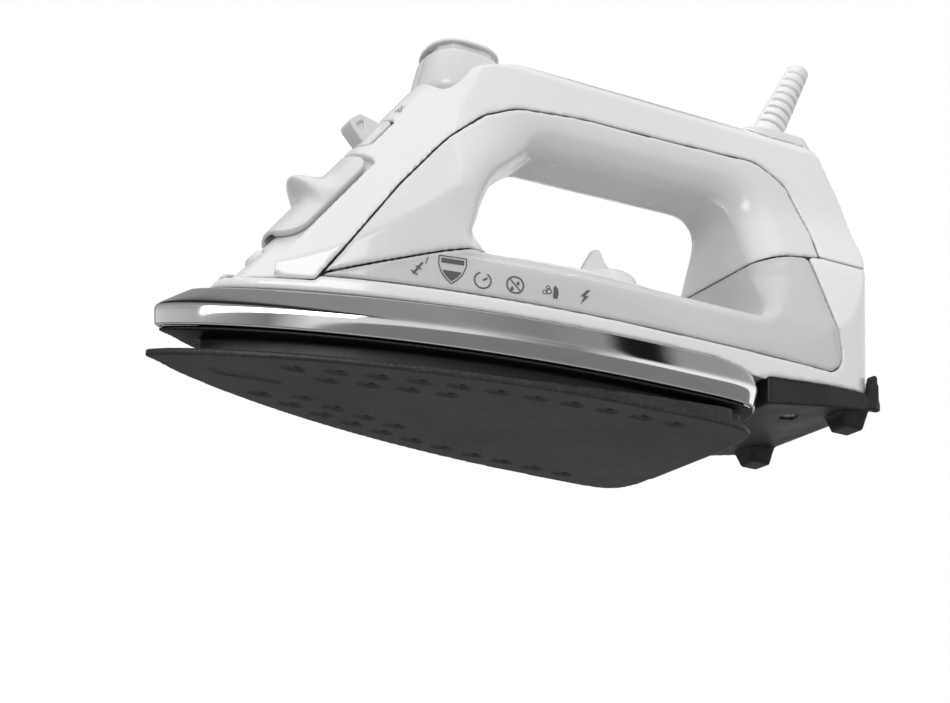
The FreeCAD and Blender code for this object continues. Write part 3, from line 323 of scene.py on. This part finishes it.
def roll_into_opening(mesh):
    """Draws the shells in towards the hand opening, so that their sides roll over into it."""
    points = points_of(mesh)
    places = np.column_stack([NOSE_X - points[:, 0] / MM, points[:, 2] / MM])
    away = distance_to_outline(places, HAND_OPENING)
    radius = np.interp(places[:, 1], [52, 70], [5.0, 15.0])
    depth = np.clip(1 - away / radius, 0, 1)
    half_width = np.interp(places[:, 1], [50, 78, 104], [42, 33, 21])
    drawn_in = radius * (1 - np.sqrt(1 - depth ** 2)) * ROLL_SHARE
    points[:, 1] *= 1 - drawn_in / half_width
    mesh.vertices.foreach_set("co", points.ravel())
    mesh.update()


def shell(node, voxel, rounds, shape=None):
    """A CAD piece's own form with its edges eased: a fine even mesh, its voxels in mm, smoothed."""
    piece = new_object(node + "_shell", NODES[node].data.copy(), MATERIALS[slot_of(node)])
    even = piece.modifiers.new("even", "REMESH")
    even.mode = "VOXEL"
    even.voxel_size = voxel * MM
    apply_modifiers(piece)
    if shape:
        shape(piece.data)
    ease = piece.modifiers.new("ease", "SMOOTH")
    ease.factor = 0.5
    ease.iterations = rounds
    apply_modifiers(piece)
    piece.data.materials.clear()
    piece.data.materials.append(MATERIALS[slot_of(node)])
    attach(piece, body_of(node))
    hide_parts(node)
    return piece


shell("upper_shell", 0.8, 6, roll_into_opening)
shell("handle_grip", 0.8, 12, roll_into_opening)
tank = shell("water_tank", 0.8, 8, roll_into_opening)
shell("lower_body", 0.8, 6)
shell("saddle_cover", 0.5, 5)
shell("heat_shield", 0.7, 3)
shell("heel_plate", 0.6, 4)
shell("soleplate", 0.7, 3)
shell("steam_button", 0.35, 5)
shell("spray_button", 0.35, 5)
shell("steam_lever", 0.35, 5)
shell("spray_nozzle", 0.25, 4)
shell("temperature_dial", 0.35, 5)
shell("cord_collar", 0.4, 5)
shell("cord_guard", 0.3, 3)


# ---------------------------------------------------------------- fill door, buttons and lever panel

def closed_sheet(name, outside, inside, body, node, replace=True):
    """A piece from two matching grids of points, its outside and its inside, joined round the rim."""
    builder = bmesh.new()
    rows, columns = len(outside), len(outside[0])
    front = [[builder.verts.new(p) for p in row] for row in outside]
    back = [[builder.verts.new(p) for p in row] for row in inside]
    for i in range(rows - 1):
        for j in range(columns - 1):
            builder.faces.new((front[i][j], front[i][j + 1], front[i + 1][j + 1], front[i + 1][j]))
            builder.faces.new((back[i][j], back[i + 1][j], back[i + 1][j + 1], back[i][j + 1]))
    rim = [(0, j) for j in range(columns)] + [(i, columns - 1) for i in range(1, rows)]
    rim += [(rows - 1, j) for j in range(columns - 2, -1, -1)] + [(i, 0) for i in range(rows - 2, 0, -1)]
    for (a, b), (c, d) in zip(rim, rim[1:] + rim[:1]):
        builder.faces.new((front[a][b], back[a][b], back[c][d], front[c][d]))
    bmesh.ops.recalc_face_normals(builder, faces=builder.faces)
    mesh = bpy.data.meshes.new(name)
    builder.to_mesh(mesh)
    builder.free()
    piece = new_object(name, mesh, MATERIALS[slot_of(node)])
    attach(piece, body)
    if replace:
        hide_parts(node)
    return piece


# The front is a round bow that runs straight back at each side.
BOW_RADIUS = 17.0
CHEEK = math.radians(38.0)


def bow_place(around, inset):
    """Sideways place and depth on the rounded front, at a distance around it from its middle line."""
    turn = min(abs(around) / BOW_RADIUS, math.pi / 2 - CHEEK)
    straight = abs(around) - turn * BOW_RADIUS
    y = (BOW_RADIUS - inset) * math.sin(turn) + straight * math.cos(turn)
    depth = BOW_RADIUS - (BOW_RADIUS - inset) * math.cos(turn) + straight * math.sin(turn)
    return math.copysign(y, around), depth


def rounded_width(reach, corner, distance):
    """Half a panel's width at a distance from its end, where its corners are rounded."""
    if distance >= corner:
        return reach
    return reach - corner + math.sqrt(corner ** 2 - (corner - distance) ** 2)


def rolled(depth, reach, edge):
    """How far a face has dropped at a distance from its edge: the full depth there, none beyond reach."""
    return depth * max(1 - edge / reach, 0) ** 2


def faded(distance, reach):
    """A share that goes from 0 to 1 as a distance goes from 0 to reach."""
    return min(max(distance / reach, 0), 1)


def door_swell(up, share):
    """How far the thumb lip stands out of the door: steep below its crest, easy above."""
    lip_up, lip_sag = 46.8, 1.5
    steep, easy = 2.6, 5.4
    side_height, middle_height = 1.0, 7.2
    crest = lip_up - lip_sag * share ** 2
    hill = math.exp(-((up - crest) / (steep if up < crest else easy)) ** 2)
    return (side_height + middle_height * math.cos(share * math.pi / 2) ** 1.1) * hill


def fill_door():
    """The sliding door: a bowed sheet with a thumb lip, its back relieved over the spray nozzle."""
    low, high, reach = 24.0, 68.0, 16.6
    low_corner, high_corner = 9.0, 5.0
    sunk, back_depth = 0.2, 2.6
    tuck, tuck_reach, roll, roll_reach, lip_reach = 0.3, 1.6, 0.45, 0.8, 1.5
    relief, relief_width, relief_top, relief_edge = 1.1, 5.8, 46.6, 0.6
    rows, columns = 150, 110
    outside, inside = [], []
    for i in range(rows + 1):
        up = low + (high - low) * i / rows
        from_low, from_high = up - low, high - up
        width = min(rounded_width(reach, low_corner, from_low),
                    rounded_width(reach, high_corner, from_high))
        front_row, back_row = [], []
        for j in range(columns + 1):
            share = 2 * j / columns - 1
            edge = min(from_low, from_high, (1 - abs(share)) * width)
            swell = door_swell(up, share) * min(edge / lip_reach, 1)
            around = share * (width - rolled(tuck, tuck_reach, edge))
            y, depth = bow_place(around, sunk + rolled(roll, roll_reach, edge))
            front_row.append(on_slope(up, y, swell - depth))
            over_nozzle = faded(relief_width - abs(share * width), relief_edge)
            over_nozzle *= faded(relief_top - up, relief_edge)
            y, depth = bow_place(share * (width - tuck), back_depth - relief * over_nozzle)
            back_row.append(on_slope(up, y, -depth))
        outside.append(front_row)
        inside.append(back_row)
    closed_sheet("fill_door_sheet", outside, inside, "door", "fill_door")


# The pod and the caps over its buttons share a lens-shaped plan about one station. The powers
# below draw an ellipse out to that plan: its front, its rear and its sides.
POD_STATION = 105.0
FRONT_POWER = 0.62
REAR_POWER = 0.9
SIDE_POWER = 0.86
SAME_PLACE = 0.001


def button_pod():
    """The pod under the two buttons: a smooth wall with an upright edge in front, flared at its foot."""
    top, front, rear, half_width = 137.5, 15.6, 17.5, 16.2
    front_flare, rear_flare = 0.084, 0.35
    inner_front, inner_rear, inner_half_width = 13.9, 15.3, 14.15
    levels = [(118.0, 0.0), (124.0, 0.0), (128.0, 0.2), (131.0, 0.5), (134.0, 0.8), (136.4, 1.05),
              (137.2, 1.2), (top, 1.6)]
    count = 160
    outside, inside = [], []
    for z, inset in levels:
        below = top - z
        front_row, back_row = [], []
        for j in range(count + 1):
            turn = 2 * math.pi * j / count
            ahead = math.cos(turn) > 0
            a = math.copysign(abs(math.cos(turn)) ** (FRONT_POWER if ahead else REAR_POWER), math.cos(turn))
            b = math.copysign(abs(math.sin(turn)) ** SIDE_POWER, math.sin(turn))
            length = (front + front_flare * below if ahead else rear + rear_flare * below) - inset
            front_row.append(at(POD_STATION - a * length, b * (half_width - inset), z))
            inner_length = inner_front if ahead else inner_rear
            back_row.append(at(POD_STATION - a * inner_length, b * inner_half_width, z))
        outside.append(front_row)
        inside.append(back_row)
    piece = closed_sheet("button_pod", outside, inside, "root", "button_housing")
    builder = bmesh.new()
    builder.from_mesh(piece.data)
    bmesh.ops.remove_doubles(builder, verts=builder.verts, dist=SAME_PLACE * MM)
    builder.to_mesh(piece.data)
    builder.free()
    piece.data.polygons.foreach_set("use_smooth", [True] * len(piece.data.polygons))


def button_cap(node, hand):
    """The smooth domed cap over one button, half of the pod's lens-shaped top; hand is 1 for the left."""
    rows, columns = 90, 44
    front, rear, half_width, least_width = 13.9, 15.0, 14.7, 0.9
    gap, base, crown, crown_station = 0.25, 140.75, 142.8, 104.0
    fall_lengthwise, fall_sideways = 0.7, 0.4
    roll, roll_reach, length = 0.56, 1.1, 30.0
    split_edge, split_steepness = 0.2, 1.5
    short_of_tip = 0.9999
    outside, inside = [], []
    for i in range(rows + 1):
        a = math.cos(math.pi * i / rows) * short_of_tip
        turn = abs(a) ** (1 / (FRONT_POWER if a > 0 else REAR_POWER))
        width = max(half_width * math.sqrt(1 - min(turn, 1) ** 2) ** SIDE_POWER, least_width)
        station = POD_STATION - a * (front if a > 0 else rear)
        from_end = min(i, rows - i) / rows * length
        top_row, base_row = [], []
        for j in range(columns + 1):
            y = gap + (width - gap) * j / columns
            edge = min(from_end, width - y, (y - gap) * split_steepness + split_edge)
            z = crown - fall_lengthwise * ((station - crown_station) / rear) ** 2
            z -= fall_sideways * (y / half_width) ** 2
            top_row.append(at(station, hand * y, z - rolled(roll, roll_reach, edge)))
            base_row.append(at(station, hand * y, base))
        outside.append(top_row)
        inside.append(base_row)
    closed_sheet(node + "_cap", outside, inside, body_of(node), node, replace=False)


def lever_panel():
    """The lever's curved panel, just below the shell's face."""
    low, high, reach, corner = 74.5, 89.6, 9.7, 2.4
    sunk, back_depth, roll, roll_reach = 0.45, 2.6, 0.4, 0.6
    rows, columns = 50, 60
    outside, inside = [], []
    for i in range(rows + 1):
        up = low + (high - low) * i / rows
        distance = min(up - low, high - up)
        width = rounded_width(reach, corner, distance)
        front_row, back_row = [], []
        for j in range(columns + 1):
            share = 2 * j / columns - 1
            edge = min(distance, (1 - abs(share)) * width)
            y, depth = bow_place(share * width, sunk + rolled(roll, roll_reach, edge))
            front_row.append(on_slope(up, y, -depth))
            y, depth = bow_place(share * width, back_depth)
            back_row.append(on_slope(up, y, -depth))
        outside.append(front_row)
        inside.append(back_row)
    closed_sheet("lever_panel", outside, inside, "lever", "steam_lever", replace=False)


fill_door()
button_pod()
button_cap("steam_button", 1)
button_cap("spray_button", -1)
lever_panel()


# ---------------------------------------------------------------- chrome band

def hull_side(half_width, nose, tail, count):
    """One side of a boat-shaped outline from nose to tail, as evenly spaced (station, y) points."""
    samples = 1500
    part = np.linspace(0, 1, samples) ** 2
    ahead = np.column_stack([nose + part * (WIDEST - nose), half_width * (1 - (1 - part) ** 2.1) ** 0.83])
    turn = np.linspace(0, math.pi / 2, samples)[1:]
    behind = np.column_stack([WIDEST + (tail - WIDEST) * np.sin(turn) ** (1 / 3),
                              half_width * np.clip(np.cos(turn), 0, 1) ** (1 / 3)])
    line = np.vstack([ahead, behind])
    length = np.concatenate([[0], np.cumsum(np.hypot(*np.diff(line, axis=0).T))])
    even = np.linspace(0, length[-1], count)
    return np.column_stack([np.interp(even, length, line[:, 0]), np.interp(even, length, line[:, 1])])


BAND_LOW = 11.1
BAND_CREASE = 18.2
BAND_HEIGHT = 15.9
BAND_HIGH = BAND_LOW + BAND_HEIGHT
BAND_WALL = 1.5


def band_side(z, inset, count):
    """One side of the band at a height: wider up to the crease, then narrower, drawn in by inset."""
    foot_half_width, foot_nose, foot_tail, softness = 48.8, 1.6, 216.6, 0.9
    past_crease = z - BAND_CREASE
    soft = 0.5 * (past_crease + math.sqrt(past_crease ** 2 + softness))
    rise = (z - BAND_LOW) / (BAND_CREASE - BAND_LOW)
    fall = soft / (BAND_HIGH - BAND_CREASE)
    half_width = foot_half_width + 2.0 * rise - 7.344 * fall - inset
    nose = foot_nose - 1.2 * rise + 14.4 * fall + 1.7 * inset
    tail = foot_tail + 0.8 * rise - 1.8 * fall - 0.9 * inset
    return hull_side(half_width, nose, tail, count)


def chrome_band():
    """The plated band: two facets meeting in a soft crease, its top drawn down to the tail."""
    count, steps = 260, 16
    stations = band_side(BAND_HIGH, 0, count)[:, 0]
    top = np.interp(stations, [0, 190, 197, 204, 210, 214, 217], [27.0, 27.0, 26.6, 25.2, 23.4, 21.8, 20.4])
    # The wall's cross-section, as (height, inset): inner foot, rounded edge, face, rounded edge, inner top.
    profile = [(0.0, BAND_WALL), (0.0, 0.35), (0.12, 0.1), (0.35, 0.0)]
    profile += [(height, 0.0) for height in np.linspace(0.8, 15.0, 22)]
    profile += [(15.5, 0.1), (15.75, 0.35), (BAND_HEIGHT, 0.8), (BAND_HEIGHT, BAND_WALL)]
    index = np.arange(count)
    builder = bmesh.new()
    loops = []
    for height, inset in profile:
        stack = np.stack([band_side(z, inset, count) for z in np.linspace(BAND_LOW, BAND_HIGH, steps + 1)])
        heights = BAND_LOW + height / BAND_HEIGHT * (top - BAND_LOW)
        share = (heights - BAND_LOW) / (BAND_HIGH - BAND_LOW) * steps
        step = np.clip(share.astype(int), 0, steps - 1)
        part = (share - step)[:, None]
        places = stack[step, index] * (1 - part) + stack[step + 1, index] * part
        side = list(zip(places[:, 0], places[:, 1], heights))
        left = [builder.verts.new(at(s, y, z)) for s, y, z in side]
        right = [builder.verts.new(at(s, -y, z)) for s, y, z in side[1:-1]]
        loops.append(left + right[::-1])
    total = len(loops[0])
    for near, far in zip(loops, loops[1:] + loops[:1]):
        for i in range(total):
            j = (i + 1) % total
            builder.faces.new((near[i], near[j], far[j], far[i]))
    bmesh.ops.recalc_face_normals(builder, faces=builder.faces)
    mesh = bpy.data.meshes.new("chrome_band")
    builder.to_mesh(mesh)
    builder.free()
    piece = new_object("chrome_band", mesh, MATERIALS["chrome"])
    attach(piece, "root")
    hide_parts("chrome_trim")


chrome_band()


# ---------------------------------------------------------------- printed marks

INK_PROUD = 0.12
FRONT_INK_PROUD = 0.14

bpy.context.view_layer.update()
tank_points = [vertex.co for vertex in tank.data.vertices]
tank_faces = [polygon.vertices for polygon in tank.data.polygons]
tank_surface = BVHTree.FromPolygons(tank_points, tank_faces)


def print_piece(name, builder):
    """A printed mark from a builder's faces, fixed to the iron."""
    mesh = bpy.data.meshes.new(name)
    builder.to_mesh(mesh)
    builder.free()
    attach(new_object(name, mesh, MATERIALS["ink"]), "root")


def print_on_tank(name, shapes, station, z, size, turn=0.0):
    """Flat ink shapes, each a closed (a, b) outline in a unit square, laid on the tank's left side."""
    clear_of_tank = 80
    builder = bmesh.new()
    for shape in shapes:
        corners = []
        for a, b in shape:
            s = station + size * (a * math.cos(turn) - b * math.sin(turn))
            h = z + size * (a * math.sin(turn) + b * math.cos(turn))
            hit, normal, _, _ = tank_surface.ray_cast(at(s, clear_of_tank, h), Vector((0, -1, 0)))
            if hit is None:
                break
            corners.append(builder.verts.new(hit + normal * INK_PROUD * MM))
        if len(corners) == len(shape):
            builder.faces.new(corners)
    print_piece(name, builder)


def strip(points, width):
    """Quads that follow a line of points."""
    shapes = []
    for (a, b), (c, d) in zip(points, points[1:]):
        length = math.hypot(c - a, d - b) or 1
        u, v = -(d - b) / length * width / 2, (c - a) / length * width / 2
        shapes.append([(a - u, b - v), (c - u, d - v), (c + u, d + v), (a + u, b + v)])
    return shapes


def arc(radius, start, stop, steps):
    """Points along an arc between two angles in degrees."""
    turns = [math.radians(start + (stop - start) * i / steps) for i in range(steps + 1)]
    return [(radius * math.cos(t), radius * math.sin(t)) for t in turns]


def ring(radius, width, start=0, stop=360):
    """Quads along an arc, a full circle if no angles are given."""
    return strip(arc(radius, start, stop, 36), width)


def fan(outline):
    """Triangles that fill an outline which is seen whole from its middle."""
    a = sum(p[0] for p in outline) / len(outline)
    b = sum(p[1] for p in outline) / len(outline)
    return [[(a, b), start, stop] for start, stop in zip(outline, outline[1:] + outline[:1])]


def shield_outline(scale):
    """A plain shield, pointed at its foot."""
    left = [(-1.0, 0.9), (-1.02, 0.3), (-0.8, -0.35), (-0.42, -0.85), (0.0, -1.2)]
    right = [(-a, b) for a, b in reversed(left[:-1])]
    return [(a * scale, b * scale) for a, b in left + right]


def drop(a, b, size):
    """A drop of water with its tip up, about a place."""
    outline = [(a, b + 1.7 * size)] + [(a - size * math.sin(t), b - size * math.cos(t))
                                       for t in np.linspace(-2.0, 2.0, 14)]
    return fan(outline)


def print_on_front(name, shapes, up, around, size):
    """Flat ink shapes laid on the rounded front, above the steam lever."""
    builder = bmesh.new()
    for shape in shapes:
        corners = []
        for a, b in shape:
            y, depth = bow_place(around + a * size, -FRONT_INK_PROUD)
            corners.append(builder.verts.new(on_slope(up + b * size, y, -depth)))
        builder.faces.new(corners)
    print_piece(name, builder)


def moved(shapes, a, b, scale=1.0):
    """Shapes moved by (a, b) and scaled."""
    return [[(scale * (a + u), scale * (b + v)) for u, v in shape] for shape in shapes]


def puff(size, reach):
    """A small cloud: three rings, and a dash for each step of steam."""
    shapes = []
    for a, b, radius in ((-0.45, -0.2, 0.38), (0.1, 0.25, 0.42), (0.5, -0.25, 0.34)):
        shapes += moved(ring(radius, 0.12), a, b, size)
    for step in range(reach):
        shapes += strip([(-0.5 + 0.45 * step, 0.95 * size), (-0.3 + 0.45 * step, 1.35 * size)], 0.14)
    return shapes


def marks():
    """A fill line, a plain badge and pictograms, with no words."""
    fill_tilt = math.radians(-16)
    print_on_tank("mark_fill_line", strip([(0, -1), (0, 1)], 0.24), 84.6, 42.7, 1.4, fill_tilt)
    scale = strip([(-0.5, -1), (0.1, 1)], 0.3)
    scale += strip([(-0.9, -0.6), (0.1, -0.9)], 0.2)
    scale += strip([(-0.6, 0.2), (0.3, 0.0)], 0.2)
    print_on_tank("mark_fill_scale", scale, 82.3, 39.3, 2.6, fill_tilt)
    rim = shield_outline(1.0)
    badge = strip(rim + rim[:1], 0.09)
    foot = [(a, b) for a, b in shield_outline(0.84) if b < -0.25]
    badge += fan([(-0.7, -0.2)] + foot + [(0.7, -0.2)])
    badge += fan([(-0.84, 0.74), (-0.85, 0.36), (0.85, 0.36), (0.84, 0.74)])
    print_on_tank("mark_badge", badge, 93.4, 41.0, 4.7)
    clock = ring(1.0, 0.2, 110, 420) + strip([(0, 0), (0.55, 0.35)], 0.24)
    print_on_tank("mark_auto_off", clock, 104.2, 38.4, 2.9)
    no_drip = ring(1.0, 0.2) + strip([(-0.68, 0.68), (0.68, -0.68)], 0.16)
    no_drip += drop(0.32, 0.2, 0.2) + drop(-0.35, -0.55, 0.22)
    print_on_tank("mark_no_drip", no_drip, 115.8, 38.7, 3.0)
    upright = ring(0.3, 0.14) + moved(ring(0.24, 0.12), -0.55, -0.2) + moved(ring(0.22, 0.12), -0.15, 0.45)
    upright += fan([(0.55, -0.8), (0.55, 0.55), (0.75, 0.9), (1.15, 0.5), (1.25, -0.1), (1.1, -0.8)])
    print_on_tank("mark_upright_steam", upright, 128.2, 38.6, 2.9)
    bolt = [(0.35, 1.0), (-0.55, 0.0), (-0.05, 0.02), (-0.45, -1.0), (0.6, 0.2), (0.08, 0.16), (0.75, 1.0)]
    print_on_tank("mark_power", fan(bolt), 141.5, 39.0, 2.9)
    print_on_front("mark_much_steam", puff(1.0, 3), 95.5, 8.5, 1.9)
    print_on_front("mark_some_steam", puff(0.85, 1), 95.5, -8.5, 1.9)


marks()


# ---------------------------------------------------------------- stage, light and camera

def build_stage():
    """A pale floor, far enough below the iron for the whole of it to be seen against white."""
    builder = bmesh.new()
    reach, low = 30.0, -0.62
    plan = ((-1, -1), (1, -1), (1, 1), (-1, 1))
    builder.faces.new([builder.verts.new((x * reach, y * reach, low)) for x, y in plan])
    mesh = bpy.data.meshes.new("studio_floor")
    builder.to_mesh(mesh)
    builder.free()
    recipe = Recipe("pale_floor")
    recipe.colour(recipe.noise(3), (0.52, 0.52, 0.52), (0.58, 0.58, 0.58))
    recipe.set(Roughness=0.8)
    new_object("studio_floor", mesh, recipe.material)


def add_node(tree, kind, inputs=None, **settings):
    """A node with its settings, and its plain inputs by name."""
    node = tree.nodes.new(kind)
    for key, value in settings.items():
        setattr(node, key, value)
    for key, value in (inputs or {}).items():
        node.inputs[key].default_value = value
    return node


def grey_ramp(tree, stops):
    """A colour ramp with grey stops: (position, level)."""
    ramp = add_node(tree, "ShaderNodeValToRGB")
    elements = ramp.color_ramp.elements
    elements[0].position = stops[0][0]
    elements[1].position = stops[-1][0]
    for position, _ in stops[1:-1]:
        elements.new(position)
    for element, (_, level) in zip(elements, stops):
        element.color = (level, level, level, 1)
    return ramp


def build_world():
    """A white surround to look at. What lights the iron, and shows in its plating, is brightest at the
    horizon, with darker patches along x that differ between low down and higher up."""
    world = bpy.data.worlds.new("studio")
    bpy.context.scene.world = world
    world.use_nodes = True
    tree = world.node_tree
    tree.nodes.clear()
    place = add_node(tree, "ShaderNodeTexCoord")
    split = add_node(tree, "ShaderNodeSeparateXYZ")
    upward = add_node(tree, "ShaderNodeMapRange", {"From Min": -1})
    along = add_node(tree, "ShaderNodeMapRange", {"From Min": -1})
    by_height = grey_ramp(tree, [(0.0, 0.10), (0.30, 0.16), (0.42, 0.55), (0.5, 0.95), (0.58, 0.9),
                                 (0.72, 0.6), (0.86, 0.42), (1.0, 0.34)])
    high_patches = grey_ramp(tree, [(0.0, 1.0), (0.255, 1.0), (0.27, 0.03), (0.30, 0.03), (0.312, 0.95),
                                    (0.37, 0.75), (0.44, 1.0), (0.57, 0.9), (0.60, 0.10), (0.66, 0.06),
                                    (0.70, 0.8), (1.0, 1.0)])
    low_patches = grey_ramp(tree, [(0.0, 1.3), (0.30, 1.2), (0.37, 0.3), (0.42, 0.42), (0.50, 0.9),
                                   (0.70, 1.0), (0.76, 0.25), (1.0, 0.9)])
    height = add_node(tree, "ShaderNodeMapRange", {"From Min": 0.25, "From Max": 0.65},
                      interpolation_type="SMOOTHSTEP")
    choose = add_node(tree, "ShaderNodeMix", data_type="RGBA")
    shade = add_node(tree, "ShaderNodeMix", {"Factor": 1}, data_type="RGBA", blend_type="MULTIPLY")
    lit = add_node(tree, "ShaderNodeBackground")
    seen = add_node(tree, "ShaderNodeBackground", {"Color": (1, 1, 1, 1)})
    path = add_node(tree, "ShaderNodeLightPath")
    mix = add_node(tree, "ShaderNodeMixShader")
    out = add_node(tree, "ShaderNodeOutputWorld")
    for start, end in (
            (place.outputs["Generated"], split.inputs[0]),
            (split.outputs["Z"], upward.inputs["Value"]),
            (split.outputs["X"], along.inputs["Value"]),
            (split.outputs["Z"], height.inputs["Value"]),
            (upward.outputs["Result"], by_height.inputs["Fac"]),
            (along.outputs["Result"], high_patches.inputs["Fac"]),
            (along.outputs["Result"], low_patches.inputs["Fac"]),
            (height.outputs["Result"], choose.inputs["Factor"]),
            (low_patches.outputs["Color"], choose.inputs["A"]),
            (high_patches.outputs["Color"], choose.inputs["B"]),
            (by_height.outputs["Color"], shade.inputs["A"]),
            (choose.outputs["Result"], shade.inputs["B"]),
            (shade.outputs["Result"], lit.inputs["Color"]),
            (path.outputs["Is Camera Ray"], mix.inputs["Fac"]),
            (lit.outputs[0], mix.inputs[1]),
            (seen.outputs[0], mix.inputs[2]),
            (mix.outputs[0], out.inputs["Surface"])):
        tree.links.new(start, end)


def area_light(name, place, target, size, power, glossy=True):
    """A rectangular lamp aimed at a target; glossy says whether it shows in reflections."""
    light = bpy.data.lights.new(name, "AREA")
    light.shape = "RECTANGLE"
    light.size, light.size_y = size
    light.energy = power
    obj = bpy.data.objects.new(name, light)
    bpy.context.scene.collection.objects.link(obj)
    obj.location = place
    obj.rotation_euler = (Vector(target) - Vector(place)).to_track_quat("-Z", "Y").to_euler()
    obj.visible_glossy = glossy


def build_camera():
    """A camera at the iron's left and a little below it, looking up at its side and sole."""
    data = bpy.data.cameras.new("camera")
    data.lens = 68.2
    data.sensor_width = 36.0
    camera = bpy.data.objects.new("camera", data)
    bpy.context.scene.collection.objects.link(camera)
    place = (0.275, 0.563, -0.188)
    right = Vector((-0.898, 0.436, 0.064)).normalized()
    ahead = Vector((-0.393, -0.859, 0.327))
    ahead = (ahead - right * ahead.dot(right)).normalized()
    up = right.cross(ahead)
    turn = Matrix((right, up, -ahead)).transposed().to_4x4()
    camera.matrix_world = Matrix.Translation(place) @ turn
    bpy.context.scene.camera = camera


build_stage()
build_world()
IRON_MIDDLE = (0, 0, 0.06)
area_light("overhead", (0.1, 0.1, 1.2), IRON_MIDDLE, (1.6, 1.2), 14, glossy=False)
area_light("left_front", (0.9, 1.3, 0.55), IRON_MIDDLE, (0.9, 0.7), 9)
build_camera()
bpy.context.scene.view_settings.view_transform = "Standard"

bpy.context.view_layer.update()
